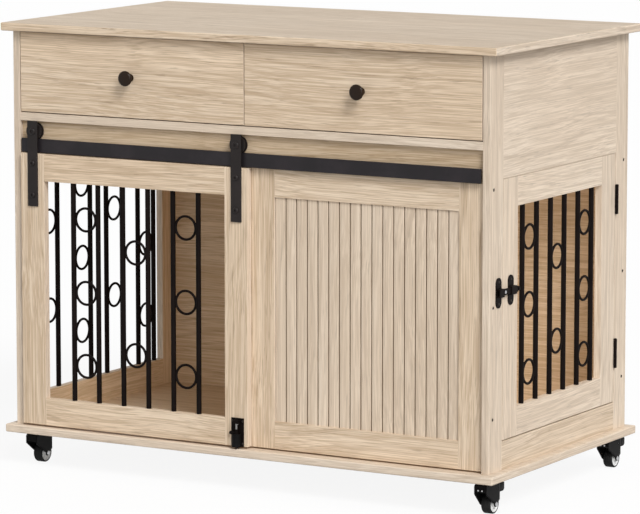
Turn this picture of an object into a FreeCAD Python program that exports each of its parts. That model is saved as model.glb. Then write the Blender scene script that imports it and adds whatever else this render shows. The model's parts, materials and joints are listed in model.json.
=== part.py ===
import FreeCAD, Part
import os

V = FreeCAD.Vector
along_x = V(1, 0, 0)
along_y = V(0, 1, 0)
along_z = V(0, 0, 1)

# A wooden dog crate that doubles as a side table. The frame stands on four casters, with +Z up,
# the front facing -Y and the origin on the floor, in the middle of the crate's plan.
# All sizes are in millimetres.

# Carcass
carcass_width = 1060.0
carcass_depth = 582.0
board = 15.0
slab = 16.0
board_ease = 0.6
slab_ease = 2.5
top_side_overhang = 20.0
top_front_overhang = 15.0
base_overhang = 17.0
rear_overhang = 16.0
front_post_width = 54.0
rear_post_width = 52.0
left_rear_post_width = 61.0
apron_height = 55.0
side_opening_height = 497.0
back_inset = 9.5
shelf_thickness = 16.0

# Bars, rings and their sockets
bar_radius = 5.0
socket_depth = 8.0
socket_clearance = 0.1
ring_wire_radius = 2.5
ring_weld = 1.3
left_bar_count = 8
left_bar_margin = 24.4
left_three_ring_insets = (100.7, 96.0)
left_two_ring_insets = (158.5, 158.5)

# Sliding barn door and the fixed panel that it slides in front of
barn_door_width = 521.0
barn_door_height = 541.0
barn_left_stile_width = 55.0
barn_right_stile_width = 51.0
barn_rail_width = 54.0
barn_floor_gap = 4.0
barn_side_gap = 5.0
barn_panel_gap = 1.5
barn_open_gap = 4.0
barn_bar_count = 6
barn_bar_margin = 63.4
barn_three_ring_insets = (71.0, 71.0)
barn_two_ring_insets = (102.2, 128.1)
fixed_panel_lap = 3.0
fixed_floor_gap = 3.0
fixed_frame_width = 54.0
flute_count = 17
flute_groove = 2.4
flute_depth = 4.0
flute_crown = 0.6
flute_recess = 3.0
flute_thickness = 10.0

# Track, hangers and rollers of the barn door
track_gap = 1.5
track_height = 27.2
track_thickness = 5.0
track_end_gap = 3.5
standoff_length = 6.0
standoff_radius = 6.0
standoff_inset = 64.0
standoff_count = 4
roller_radius = 14.6
roller_flange_height = 2.5
roller_flange_width = 2.5
roller_side_gap = 0.5
rolling_gap = 0.3
shelf_clearance = 2.6
strap_width = 23.0
strap_offset = 2.0
strap_thickness = 3.0
strap_overlap = 104.5
strap_head = 20.8
strap_bolt_drops = (19.0, 82.0)
strap_bolt_radius = 3.0
strap_bolt_head_radius = 6.0
strap_bolt_head_height = 3.0
strap_bolt_depth = 12.0
hanger_axle_radius = 4.0
hanger_axle_head_radius = 7.0
hanger_axle_head_height = 2.5
hanger_collar_radius = 6.5
hanger_clip_radius = 6.5
hanger_clip_thickness = 1.2
running_clearance = 0.05
face_clearance = 0.3
hole_clearance = 0.1

# Drop bolt on the barn door
drop_plate_width = 28.0
drop_plate_height = 56.0
drop_plate_thickness = 1.5
drop_plate_edge = 8.0
drop_rod_radius = 3.0
drop_guide_width = 13.0
drop_guide_height = 8.0
drop_guide_inset = 4.0
drop_guide_wall = 1.3
drop_tip_gap = 1.0
drop_throw = 10.0
drop_hole_spare = 2.0
drop_hole_clearance = 0.4
drop_handle_radius = 2.2
drop_handle_height = 27.0
drop_handle_reach = 21.0
drop_handle_knob_radius = 3.6
drop_handle_knob_length = 7.0

# Side door, its hinges and its latch
side_door_gap = 2.0
side_stile_width = 58.0
side_rail_width = 56.0
side_bar_count = 6
side_bar_margin = 32.0
side_three_ring_insets = (56.4, 66.0)
side_two_ring_insets = (99.0, 117.7)
hinge_height = 57.0
hinge_low_inset = 97.0
hinge_high_inset = 90.0
hinge_knuckle_radius = 3.2
hinge_pin_radius = 1.5
hinge_pin_head_radius = 2.2
hinge_pin_head_height = 0.8
hinge_leaf_depth = 13.0
hinge_leaf_gap = 0.4
latch_rise = 282.0
latch_plate_length = 57.0
latch_plate_width = 21.0
latch_plate_thickness = 2.0
latch_plate_inset = 28.0
latch_keeper_inset = 19.0
latch_tongue_height = 11.0
latch_tongue_thickness = 5.0
latch_wall = 2.0
latch_slide_gap = 0.3
latch_tip_gap = 0.7
latch_throw = 9.0
latch_keeper_length = 18.0
latch_housing_length = 21.0
latch_hole_radius = 3.4
latch_hole_setback = 8.0
latch_pull_radius = 4.2
latch_pull_length = 6.0

# Drawers
drawer_front_height = 156.7
drawer_gap = 2.0
drawer_rear_gap = 62.5
drawer_wall = 12.0
drawer_bottom = 5.0
drawer_bottom_lift = 8.0
drawer_box_lift = 7.0
drawer_headroom = 40.0
partition_gap = 2.0
knob_reach = 24.0
knob_radius = 15.0
knob_head_thickness = 9.0
knob_head_round = 3.5
knob_stem_radius = 5.5
knob_foot_radius = 7.5
knob_screw_radius = 2.0
knob_screw_head_radius = 4.0
knob_screw_head_height = 2.5
knob_screw_cover = 10.0
runner_depth = 12.5
runner_height = 35.0
runner_lift = 42.0
runner_setback = 4.0
runner_end_gap = 6.0
runner_sheet = 1.4

# Screws that join the posts to the boards
screw_heights = (102.0, 313.0, 534.0)
screw_head_radius = 3.5
screw_head_height = 2.0
screw_radius = 2.0
screw_length = 40.0

# Casters
caster_side_inset = 41.0
caster_front_inset = 55.5
caster_rear_inset = 40.5
caster_plate_size = 38.0
caster_plate_thickness = 2.5
caster_race_radius = 13.0
caster_race_height = 3.5
caster_screw_inset = 4.5
caster_screw_radius = 1.75
caster_screw_head_radius = 3.0
caster_screw_head_height = 1.8
caster_screw_length = 12.0
kingpin_radius = 4.0
kingpin_head_radius = 7.0
kingpin_head_height = 2.0
fork_side_gap = 1.2
fork_wall = 2.0
fork_front_reach = 25.0
fork_back_reach = 30.0
fork_shoulder_drop = 19.0
fork_front_drop = 15.0
fork_skirt_drop = 36.0
fork_leg_end = 5.5
brake_cheek_drop = 20.0
brake_cheek_setback = 1.0
brake_cheek_height = 17.0
caster_trail = 15.0
wheel_headroom = 24.0
wheel_radius = 19.0
wheel_width = 20.0
tyre_thickness = 3.0
tyre_round = 2.2
hub_inset = 1.0
hub_boss_radius = 5.5
hub_dish_rim = 2.5
hub_dish_depth = 2.5
axle_radius = 2.5
axle_head_radius = 4.5
axle_head_height = 1.5
pedal_side_gap = 0.6
pedal_pin_radius = 1.5
pedal_pin_drop = 14.0
pedal_pin_setback = 20.0
pedal_heel = 5.0
pedal_heel_thickness = 6.0
pedal_crown_drop = 6.5
pedal_depth = 17.0
pedal_start = 28.5
pedal_toe = 54.0
pedal_chamfer = 4.0

# Places that follow from those sizes
caster_height = (2 * wheel_radius + wheel_headroom + face_clearance + caster_race_height
                 + caster_plate_thickness)
rear_reach = max(rear_overhang, rear_overhang - caster_rear_inset + pedal_toe)
front = (knob_reach - carcass_depth - rear_reach) / 2
back = front + carcass_depth
outer_x = carcass_width / 2
inner_x = outer_x - board
base_low = caster_height
base_top = base_low + slab
base_half_width = outer_x + base_overhang
base_front = front - base_overhang
base_rear = back + rear_overhang
side_y = (front + front_post_width, back - rear_post_width)
left_y = (front + front_post_width, back - left_rear_post_width)
side_z = (base_top + apron_height, base_top + apron_height + side_opening_height)
back_panel_y = (back - back_inset - board, back - back_inset)

barn_face = front - board / 2
barn_x = (barn_side_gap - inner_x, barn_side_gap - inner_x + barn_door_width)
barn_z = (base_top + barn_floor_gap, base_top + barn_floor_gap + barn_door_height)
barn_travel = inner_x - barn_open_gap - barn_x[1]
panel_face = barn_face + board + barn_panel_gap
panel_y = (panel_face, panel_face + board)
panel_x = (barn_x[1] - fixed_panel_lap, inner_x)
track_z = (barn_z[1] + track_gap, barn_z[1] + track_gap + track_height)
track_y = (panel_face - standoff_length - track_thickness, panel_face - standoff_length)
roller_z = track_z[1] + roller_radius + rolling_gap
roller_flange_radius = roller_radius + roller_flange_height
roller_half_width = track_thickness / 2 + roller_side_gap + roller_flange_width
roller_y = (track_y[0] + track_y[1]) / 2
strap_y = (barn_face - strap_thickness, barn_face)
strap_xs = (barn_x[0] + barn_left_stile_width / 2 + strap_offset,
            barn_x[1] - barn_right_stile_width / 2 + strap_offset)
shelf_z = (roller_z + roller_flange_radius + shelf_clearance,
           roller_z + roller_flange_radius + shelf_clearance + shelf_thickness)
drawer_front_z = (shelf_z[1] + drawer_gap, shelf_z[1] + drawer_gap + drawer_front_height)
carcass_top = drawer_front_z[1] + drawer_gap
drawer_front_x = (drawer_gap / 2, inner_x - drawer_gap)
drawer_cell_x = (board / 2, inner_x)
drawer_box_z = (shelf_z[1] + drawer_box_lift, carcass_top - drawer_headroom)
drawer_box_y = (front + board, back_panel_y[0] - drawer_rear_gap)
runner_z = (shelf_z[1] + runner_lift, shelf_z[1] + runner_lift + runner_height)
runner_y = (drawer_box_y[0] + runner_setback, drawer_box_y[1] - runner_end_gap)
knob_screw_depth = knob_reach - knob_screw_cover

side_door_y = (side_y[0] + side_door_gap, side_y[1] - side_door_gap)
side_door_z = (side_z[0] + side_door_gap, side_z[1] - side_door_gap)
side_plane = outer_x - board / 2
hinge_x = outer_x + hinge_knuckle_radius + face_clearance
hinge_y = side_y[1] - side_door_gap / 2
hinge_zs = (side_door_z[0] + hinge_low_inset, side_door_z[1] - hinge_high_inset)
hinge_leaf_thickness = (side_door_gap - hinge_leaf_gap) / 2
latch_z = side_door_z[0] + latch_rise
latch_x = outer_x + latch_plate_thickness + latch_slide_gap + latch_tongue_thickness / 2
keeper_y = side_y[0] - latch_keeper_inset
latch_plate_y = side_door_y[0] + latch_plate_inset
latch_tip_y = keeper_y + latch_keeper_length / 2 + latch_tip_gap
housing_y = (latch_plate_y - latch_plate_width / 2,
             latch_plate_y - latch_plate_width / 2 + latch_housing_length)
latch_tail_y = housing_y[1] + latch_throw + latch_slide_gap

drop_plate_x = (barn_x[1] - drop_plate_edge - drop_plate_width, barn_x[1] - drop_plate_edge)
drop_x = (drop_plate_x[0] + drop_plate_x[1]) / 2
drop_y = barn_face - drop_plate_thickness - drop_rod_radius - face_clearance
drop_plate_z = (barn_z[0], barn_z[0] + drop_plate_height)
drop_tip_z = base_top + drop_tip_gap

fork_top = base_low - caster_plate_thickness - caster_race_height - face_clearance
fork_inner = wheel_width + 2 * fork_side_gap
fork_width = fork_inner + 2 * fork_wall
hub_radius = wheel_radius - tyre_thickness
hub_width = wheel_width - 2 * hub_inset
caster_places = {
    "front_left": (caster_side_inset - base_half_width, base_front + caster_front_inset),
    "front_right": (base_half_width - caster_side_inset, base_front + caster_front_inset),
    "rear_left": (caster_side_inset - base_half_width, base_rear - caster_rear_inset),
    "rear_right": (base_half_width - caster_side_inset, base_rear - caster_rear_inset),
}
braked_casters = ("front_right", "rear_right")


def box(x, y, z):
    """Plain block between two limits on each axis."""
    return Part.makeBox(x[1] - x[0], y[1] - y[0], z[1] - z[0], V(x[0], y[0], z[0]))


def board_solid(x, y, z, ease=board_ease):
    """Sawn board between two limits on each axis, with all its edges eased."""
    block = box(x, y, z)
    return block.makeFillet(ease, block.Edges)


def rod(start, direction, radius, length):
    """Round bar from a point along a direction."""
    return Part.makeCylinder(radius, length, start, direction)


def joined(*solids):
    """Several solids as one."""
    return solids[0].multiFuse(list(solids[1:])).removeSplitter()


def drilled(solid, holes):
    """A solid less a list of drill shapes."""
    return solid.cut(holes) if holes else solid


def mirrored(solid):
    """The same solid on the other side of the crate."""
    return solid.mirror(V(0, 0, 0), along_x)


def line(start, end):
    """Straight edge between two points."""
    return Part.LineSegment(start, end).toShape()


def extruded(points, direction):
    """Flat outline of straight edges, pulled along a direction."""
    return Part.Face(Part.makePolygon(points + points[:1])).extrude(direction)


def screw(seat, direction, head_radius, head_height, shank_radius, shank_length):
    """Screw with its head standing on its seat and its shank running on along the direction."""
    head = rod(seat - direction * head_height, direction, head_radius, head_height)
    return joined(head, rod(seat, direction, shank_radius, shank_length))


def rounded_plate(centre_y, length, width, x):
    """Upright plate with round ends, standing on the right-hand side of the crate."""
    half = (length - width) / 2
    low = V(x[0], centre_y, latch_z - half)
    high = V(x[0], centre_y, latch_z + half)
    middle = box(x, (centre_y - width / 2, centre_y + width / 2), (latch_z - half, latch_z + half))
    ends = [rod(point, along_x, width / 2, x[1] - x[0]) for point in (low, high)]
    return joined(middle, *ends)


def save(node, *solids):
    """Writes the solids of one piece, or of one set of like pieces, as a STEP file."""
    single = [solid.Solids[0] for solid in solids]
    Part.makeCompound(single).exportStep(f"parts/{node}.step")


def spread(count, limits, margin):
    """Evenly spaced places between two limits, the outer ones a margin inside them."""
    first = limits[0] + margin
    step = (limits[1] - margin - first) / (count - 1)
    return [first + index * step for index in range(count)]


def bar_sockets(points, direction):
    """Blind holes that take the ends of the bars."""
    return [rod(point, direction, bar_radius + socket_clearance, socket_depth) for point in points]


def welded_grille(bar_points, height, normal, three_insets, two_insets, first_has_three):
    """Upright bars welded in pairs by rings, three and two by turns, set in from the foot and the head."""
    pairs = []
    has_three = first_has_three
    for left, right in zip(bar_points[::2], bar_points[1::2]):
        ring_radius = (right - left).Length / 2 - bar_radius + ring_weld - ring_wire_radius
        middle = (left + right) * 0.5
        low_inset, high_inset = three_insets if has_three else two_insets
        rises = [low_inset, height - high_inset]
        if has_three:
            rises.append(sum(rises) / 2)
        bars = [rod(foot - along_z * socket_depth, along_z, bar_radius, height + 2 * socket_depth)
                for foot in (left, right)]
        rings = [Part.makeTorus(ring_radius, ring_wire_radius, middle + along_z * rise, normal)
                 for rise in rises]
        pairs.append(joined(*bars, *rings))
        has_three = not has_three
    return pairs


def make_carcass_screws():
    """Screws from the posts into the boards behind them, with the holes that they need."""
    seats = [(1, panel_y, height) for height in screw_heights]
    seats += [(side, back_panel_y, height) for side in (-1, 1) for height in screw_heights]
    seats.append((-1, panel_y, (track_z[1] + shelf_z[0]) / 2 - base_top))
    screws = []
    holes = []
    for side, limits, height in seats:
        inward = along_x * -side
        seat = V(side * (outer_x - screw_head_height), sum(limits) / 2, base_top + height)
        screws.append(screw(seat, inward, screw_head_radius, screw_head_height, screw_radius, screw_length))
        holes.append(rod(seat, inward, screw_radius + hole_clearance, screw_length))
        holes.append(rod(seat - inward * screw_head_height, inward,
                         screw_head_radius + hole_clearance, screw_head_height))
    return screws, holes


def make_casters():
    """Mounting plates with their kingpins, the screws that hold them, and each turning fork and wheel."""
    plates = []
    screws = []
    holes = []
    reach = caster_plate_size / 2
    screw_reach = reach - caster_screw_inset
    plate_low = base_low - caster_plate_thickness
    crown_low = fork_top - fork_wall
    pin_low = crown_low - face_clearance - kingpin_head_height
    for name, (x, y) in caster_places.items():
        plate = board_solid((x - reach, x + reach), (y - reach, y + reach), (plate_low, base_low))
        race = rod(V(x, y, plate_low - caster_race_height), along_z, caster_race_radius, caster_race_height)
        pin = rod(V(x, y, pin_low), along_z, kingpin_radius, plate_low - pin_low)
        pin_head = rod(V(x, y, pin_low), along_z, kingpin_head_radius, kingpin_head_height)
        plate_holes = []
        for dx in (-screw_reach, screw_reach):
            for dy in (-screw_reach, screw_reach):
                seat = V(x + dx, y + dy, plate_low)
                screws.append(screw(seat, along_z, caster_screw_head_radius, caster_screw_head_height,
                                    caster_screw_radius, caster_screw_length))
                plate_holes.append(rod(seat, along_z, caster_screw_radius + hole_clearance,
                                       caster_screw_length))
        plates.append(joined(plate, race, pin, pin_head).cut(plate_holes))
        holes += plate_holes
        braked = name in braked_casters
        make_fork(name, x, y, braked)
        make_wheel(name, x, y + caster_trail)
        if braked:
            make_pedal(name, x, y)
    save("caster_plates", *plates)
    return screws, holes


def make_fork(name, x, y, braked):
    """Hooded caster fork, open at the back, with its wheel axle; a braked one has a cheek and a pedal pin."""
    side = x - fork_width / 2
    axle_y = y + caster_trail
    front_top = V(side, y - fork_front_reach, fork_top)
    back_top = V(side, y + fork_back_reach, fork_top)
    skirt = V(side, y + fork_back_reach, fork_top - fork_skirt_drop)
    leg_back = V(side, axle_y + fork_leg_end, wheel_radius)
    leg_foot = V(side, axle_y, wheel_radius - fork_leg_end)
    leg_front = V(side, axle_y - fork_leg_end, wheel_radius)
    shoulder = V(side, y - fork_front_reach, fork_top - fork_shoulder_drop)
    outline = [
        line(shoulder, front_top),
        line(front_top, back_top),
        line(back_top, skirt),
        line(skirt, leg_back),
        Part.Arc(leg_back, leg_foot, leg_front).toShape(),
        line(leg_front, shoulder),
    ]
    body = Part.Face(Part.Wire(outline)).extrude(along_x * fork_width)
    inside = (x - fork_inner / 2, x + fork_inner / 2)
    hollow = box(inside, (y - fork_front_reach + fork_wall, y + fork_back_reach), (0, fork_top - fork_wall))
    mouth = box(inside, (y - fork_front_reach, y), (0, fork_top - fork_front_drop))
    cuts = [hollow, mouth, rod(V(x, y, 0), along_z, kingpin_radius + running_clearance, base_low)]
    axle_start = V(side, axle_y, wheel_radius)
    axle = rod(axle_start, along_x, axle_radius, fork_width)
    heads = [rod(axle_start - along_x * axle_head_height, along_x, axle_head_radius, axle_head_height),
             rod(axle_start + along_x * fork_width, along_x, axle_head_radius, axle_head_height)]
    solids = [joined(axle, *heads)]
    cuts.append(rod(axle_start, along_x, axle_radius + running_clearance, fork_width))
    if braked:
        cheek_low = V(side, y - fork_front_reach, fork_top - brake_cheek_drop)
        cheek_toe = V(side, y + brake_cheek_setback, brake_cheek_height)
        cheek = extruded([front_top, cheek_low, cheek_toe, leg_foot, V(side, axle_y, fork_top)],
                         along_x * fork_wall)
        body = joined(body, cheek)
        pin_start = V(side, y + pedal_pin_setback, fork_top - pedal_pin_drop)
        solids.append(rod(pin_start, along_x, pedal_pin_radius, fork_width))
        cuts.append(rod(pin_start, along_x, pedal_pin_radius + running_clearance, fork_width))
    save(f"{name}_caster_fork", body.cut(cuts), *solids)


def make_wheel(name, x, y):
    """Caster wheel: a round-shouldered tyre on a dished hub with a long boss."""
    disc = rod(V(x - wheel_width / 2, y, wheel_radius), along_x, wheel_radius, wheel_width)
    shoulders = [edge for edge in disc.Edges if isinstance(edge.Curve, Part.Circle)]
    tyre = disc.makeFillet(tyre_round, shoulders)
    save(f"{name}_caster_tyre",
         tyre.cut(rod(V(x - wheel_width / 2, y, wheel_radius), along_x, hub_radius, wheel_width)))

    boss_length = fork_inner - 2 * face_clearance
    web = rod(V(x - hub_width / 2, y, wheel_radius), along_x, hub_radius, hub_width)
    boss = rod(V(x - boss_length / 2, y, wheel_radius), along_x, hub_boss_radius, boss_length)
    dishes = []
    for start in (x - hub_width / 2, x + hub_width / 2 - hub_dish_depth):
        dish = rod(V(start, y, wheel_radius), along_x, hub_radius - hub_dish_rim, hub_dish_depth)
        dishes.append(dish.cut(boss))
    bore = rod(V(x - boss_length / 2, y, wheel_radius), along_x, axle_radius + running_clearance, boss_length)
    save(f"{name}_caster_hub", joined(web.cut(dishes), boss).cut(bore))


def make_pedal(name, x, y):
    """Foot brake: a deep pedal behind the hood, on a heel that turns on a pin across the fork."""
    pin_y = y + pedal_pin_setback
    pin_z = fork_top - pedal_pin_drop
    width = fork_inner - 2 * pedal_side_gap
    side = x - width / 2
    heel_y = pin_y - pedal_heel
    start = y + pedal_start
    toe = y + pedal_toe
    high = fork_top - pedal_crown_drop
    low = high - pedal_depth
    half_heel = pedal_heel_thickness / 2
    points = [
        V(side, heel_y, pin_z - half_heel), V(side, start, low), V(side, toe - pedal_chamfer, low),
        V(side, toe, low + pedal_chamfer), V(side, toe, high), V(side, start, high),
        V(side, heel_y, pin_z + half_heel),
    ]
    lever = extruded(points, along_x * width)
    bore = rod(V(side, pin_y, pin_z), along_x, pedal_pin_radius + running_clearance, width)
    save(f"{name}_brake_pedal", lever.cut(bore))


def make_slabs(caster_holes):
    """Top board and base board, the base drilled for the casters and for the drop bolt."""
    top_x = outer_x + top_side_overhang
    save("top_board", board_solid((-top_x, top_x), (front - top_front_overhang, back + rear_overhang),
                                  (carcass_top, carcass_top + slab), slab_ease))
    depth = drop_throw - drop_tip_gap + drop_hole_spare
    hole_radius = drop_rod_radius + drop_hole_clearance
    bolt_holes = [rod(V(place, drop_y, base_top - depth), along_z, hole_radius, depth)
                  for place in (drop_x, drop_x + barn_travel)]
    base = board_solid((-base_half_width, base_half_width), (base_front, base_rear),
                       (base_low, base_top), slab_ease)
    save("base_board", base.cut(caster_holes + bolt_holes))


def make_side_frames(screw_holes):
    """Posts, upper panels and lower aprons of both sides, and the fixed grille on the left."""
    side_x = (inner_x, outer_x)
    tall = (base_top, carcass_top)
    high = (side_z[1], carcass_top)
    low = (base_top, side_z[0])
    left_x = (-outer_x, -inner_x)
    front_post = board_solid(side_x, (front, side_y[0]), tall)
    rear_posts = [board_solid(left_x, (left_y[1], back), tall), board_solid(side_x, (side_y[1], back), tall)]
    save("front_posts", *[drilled(post, screw_holes) for post in (mirrored(front_post), front_post)])
    save("rear_posts", *[drilled(post, screw_holes) for post in rear_posts])

    places = spread(left_bar_count, left_y, left_bar_margin)
    feet = [V(-side_plane, place, side_z[0]) for place in places]
    heads = [V(-side_plane, place, side_z[1]) for place in places]
    save("side_upper_panels", board_solid(left_x, left_y, high).cut(bar_sockets(heads, along_z)),
         board_solid(side_x, side_y, high))
    save("side_lower_aprons", board_solid(left_x, left_y, low).cut(bar_sockets(feet, along_z * -1)),
         board_solid(side_x, side_y, low))
    save("left_side_grille", *welded_grille(feet, side_opening_height, along_x, left_three_ring_insets,
                                            left_two_ring_insets, False))


def make_inner_boards(screw_holes):
    """Back panel, drawer shelf, partition between the drawers and header behind the track."""
    back_panel = board_solid((-inner_x, inner_x), back_panel_y, (base_top, carcass_top))
    save("back_panel", drilled(back_panel, screw_holes))
    save("drawer_shelf", board_solid((-inner_x, inner_x), (front, back_panel_y[0]), shelf_z))
    save("drawer_partition", board_solid((-board / 2, board / 2),
                                         (front + board + partition_gap, back_panel_y[0]),
                                         (shelf_z[1], carcass_top)))

    header = board_solid((-inner_x, inner_x), panel_y, (barn_z[1], shelf_z[0]))
    standoff_z = sum(track_z) / 2
    reach = inner_x - standoff_inset
    step = 2 * reach / (standoff_count - 1)
    bolt_length = board + standoff_length + track_thickness / 2
    fixings = []
    holes = []
    for index in range(standoff_count):
        x = index * step - reach
        seat = V(x, panel_y[1], standoff_z)
        hole = rod(seat, along_y * -1, screw_radius + hole_clearance, bolt_length)
        spacer = rod(V(x, track_y[1], standoff_z), along_y, standoff_radius, standoff_length)
        fixings.append(spacer.cut(hole))
        fixings.append(screw(seat, along_y * -1, screw_head_radius, screw_head_height,
                             screw_radius, bolt_length))
        holes.append(hole)
    save("header_board", header.cut(holes + screw_holes))
    save("track_fixings", *fixings)
    track = board_solid((track_end_gap - inner_x, inner_x - track_end_gap), track_y, track_z)
    save("door_track", track.cut(holes))


def make_fixed_panel(screw_holes):
    """Framed front panel on the right, with a fluted board inside the frame."""
    low = base_top + fixed_floor_gap
    high = barn_z[1]
    inner = (panel_x[0] + fixed_frame_width, panel_x[1] - fixed_frame_width)
    stiles = [board_solid((panel_x[0], inner[0]), panel_y, (low, high)),
              board_solid((inner[1], panel_x[1]), panel_y, (low, high)).cut(screw_holes)]
    rails = [board_solid(inner, panel_y, (low, low + fixed_frame_width)),
             board_solid(inner, panel_y, (high - fixed_frame_width, high))]
    save("fixed_panel_stiles", *stiles)
    save("fixed_panel_rails", *rails)

    bottom = low + fixed_frame_width
    face = panel_y[0] + flute_recess
    floor = face + flute_depth
    rear = face + flute_thickness
    pitch = (inner[1] - inner[0]) / flute_count
    start = V(inner[0], rear, bottom)
    corner = V(inner[0], floor, bottom)
    edges = [line(start, corner)]
    for index in range(flute_count):
        left = inner[0] + index * pitch + flute_groove / 2
        right = left + pitch - flute_groove
        foot = V(left, floor, bottom)
        rise = V(left, face + flute_crown, bottom)
        crest = V((left + right) / 2, face, bottom)
        fall = V(right, face + flute_crown, bottom)
        edges += [line(corner, foot), line(foot, rise), Part.Arc(rise, crest, fall).toShape()]
        corner = V(right, floor, bottom)
        edges.append(line(fall, corner))
    last = V(inner[1], floor, bottom)
    end = V(inner[1], rear, bottom)
    edges += [line(corner, last), line(last, end), line(end, start)]
    height = high - low - 2 * fixed_frame_width
    save("fluted_panel", Part.Face(Part.Wire(edges)).extrude(along_z * height))


def make_barn_door():
    """Sliding door: framed grille, hanger straps with their bolts, and two grooved rollers."""
    thickness = (barn_face, barn_face + board)
    inner_x_range = (barn_x[0] + barn_left_stile_width, barn_x[1] - barn_right_stile_width)
    inner_z = (barn_z[0] + barn_rail_width, barn_z[1] - barn_rail_width)
    places = spread(barn_bar_count, inner_x_range, barn_bar_margin)
    feet = [V(place, front, inner_z[0]) for place in places]
    heads = [V(place, front, inner_z[1]) for place in places]
    low_rail = board_solid(inner_x_range, thickness, (barn_z[0], inner_z[0]))
    high_rail = board_solid(inner_x_range, thickness, (inner_z[1], barn_z[1]))
    save("barn_door_rails", low_rail.cut(bar_sockets(feet, along_z * -1)),
         high_rail.cut(bar_sockets(heads, along_z)))
    save("barn_door_grille", *welded_grille(feet, inner_z[1] - inner_z[0], along_y, barn_three_ring_insets,
                                            barn_two_ring_insets, True))

    straps = []
    bolts = []
    holes = []
    for name, x in zip(("left", "right"), strap_xs):
        strap = board_solid((x - strap_width / 2, x + strap_width / 2), strap_y,
                            (barn_z[1] - strap_overlap, roller_z + strap_head))
        strap_holes = []
        for drop in strap_bolt_drops:
            seat = V(x, strap_y[0], barn_z[1] - drop)
            length = strap_thickness + strap_bolt_depth
            bolts.append(screw(seat, along_y, strap_bolt_head_radius, strap_bolt_head_height,
                               strap_bolt_radius, length))
            strap_holes.append(rod(seat, along_y, strap_bolt_radius + hole_clearance, length))
        holes += strap_holes
        axle_hole = rod(V(x, strap_y[0], roller_z), along_y, hanger_axle_radius + hole_clearance,
                        strap_thickness)
        straps.append(strap.cut(strap_holes + [axle_hole]))
        bolts.append(make_hanger_axle(x))
        make_roller(name, x)
    stiles = [board_solid((barn_x[0], inner_x_range[0]), thickness, barn_z).cut(holes),
              board_solid((inner_x_range[1], barn_x[1]), thickness, barn_z).cut(holes)]
    save("barn_door_stiles", *stiles)
    save("hanger_straps", *straps)
    save("hanger_bolts", *bolts)


def make_hanger_axle(x):
    """Roller axle: a headed bolt with a collar behind the strap and a clip behind the roller."""
    seat = V(x, strap_y[0], roller_z)
    roller_back = roller_y + roller_half_width
    clip_y = roller_back + face_clearance
    length = clip_y + hanger_clip_thickness - strap_y[0]
    collar_length = roller_y - roller_half_width - face_clearance - strap_y[1]
    axle = screw(seat, along_y, hanger_axle_head_radius, hanger_axle_head_height, hanger_axle_radius, length)
    collar = rod(V(x, strap_y[1], roller_z), along_y, hanger_collar_radius, collar_length)
    clip = rod(V(x, clip_y, roller_z), along_y, hanger_clip_radius, hanger_clip_thickness)
    return joined(axle, collar, clip)


def make_roller(name, x):
    """Grooved roller that runs on the top edge of the track."""
    width = 2 * roller_half_width
    start = V(x, roller_y - roller_half_width, roller_z)
    drum = rod(start, along_y, roller_radius, width)
    flanges = [rod(start, along_y, roller_flange_radius, roller_flange_width),
               rod(start + along_y * (width - roller_flange_width), along_y, roller_flange_radius,
                   roller_flange_width)]
    bore = rod(start, along_y, hanger_axle_radius + running_clearance, width)
    save(f"{name}_roller", joined(drum, *flanges).cut(bore))


def make_drop_bolt():
    """Plate with two guides on the barn door, and the bolt that drops into the base."""
    plate_y = (barn_face - drop_plate_thickness, barn_face)
    plate = box(drop_plate_x, plate_y, drop_plate_z)
    guide_y = (drop_y - drop_rod_radius - face_clearance - drop_guide_wall, plate_y[0])
    guide_x = (drop_x - drop_guide_width / 2, drop_x + drop_guide_width / 2)
    low = drop_plate_z[0] + drop_guide_inset
    high = drop_plate_z[1] - drop_guide_inset - drop_guide_height
    guides = [box(guide_x, guide_y, (bottom, bottom + drop_guide_height)) for bottom in (low, high)]
    bore = rod(V(drop_x, drop_y, drop_plate_z[0]), along_z, drop_rod_radius + running_clearance,
               drop_plate_height)
    save("barn_bolt_plate", joined(plate, *guides).cut(bore))

    length = drop_plate_z[1] - drop_tip_z
    pin_z = drop_plate_z[0] + drop_handle_height
    handle_start = V(drop_x, drop_y, pin_z)
    knob_start = V(drop_x - drop_handle_reach, drop_y, pin_z)
    handle = rod(handle_start, along_x * -1, drop_handle_radius, drop_handle_reach)
    knob = rod(knob_start, along_x, drop_handle_knob_radius, drop_handle_knob_length)
    shank = rod(V(drop_x, drop_y, drop_tip_z), along_z, drop_rod_radius, length)
    save("barn_bolt", joined(shank, handle, knob))


def make_side_door():
    """Hinged door on the right-hand side: framed grille flush with the posts."""
    side_x = (inner_x, outer_x)
    inner_y = (side_door_y[0] + side_stile_width, side_door_y[1] - side_stile_width)
    inner_z = (side_door_z[0] + side_rail_width, side_door_z[1] - side_rail_width)
    places = spread(side_bar_count, inner_y, side_bar_margin)
    feet = [V(side_plane, place, inner_z[0]) for place in places]
    heads = [V(side_plane, place, inner_z[1]) for place in places]
    save("side_door_stiles", board_solid(side_x, (side_door_y[0], inner_y[0]), side_door_z),
         board_solid(side_x, (inner_y[1], side_door_y[1]), side_door_z))
    low_rail = board_solid(side_x, inner_y, (side_door_z[0], inner_z[0]))
    high_rail = board_solid(side_x, inner_y, (inner_z[1], side_door_z[1]))
    save("side_door_rails", low_rail.cut(bar_sockets(feet, along_z * -1)),
         high_rail.cut(bar_sockets(heads, along_z)))
    save("side_door_grille", *welded_grille(feet, inner_z[1] - inner_z[0], along_x, side_three_ring_insets,
                                            side_two_ring_insets, True))


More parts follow.
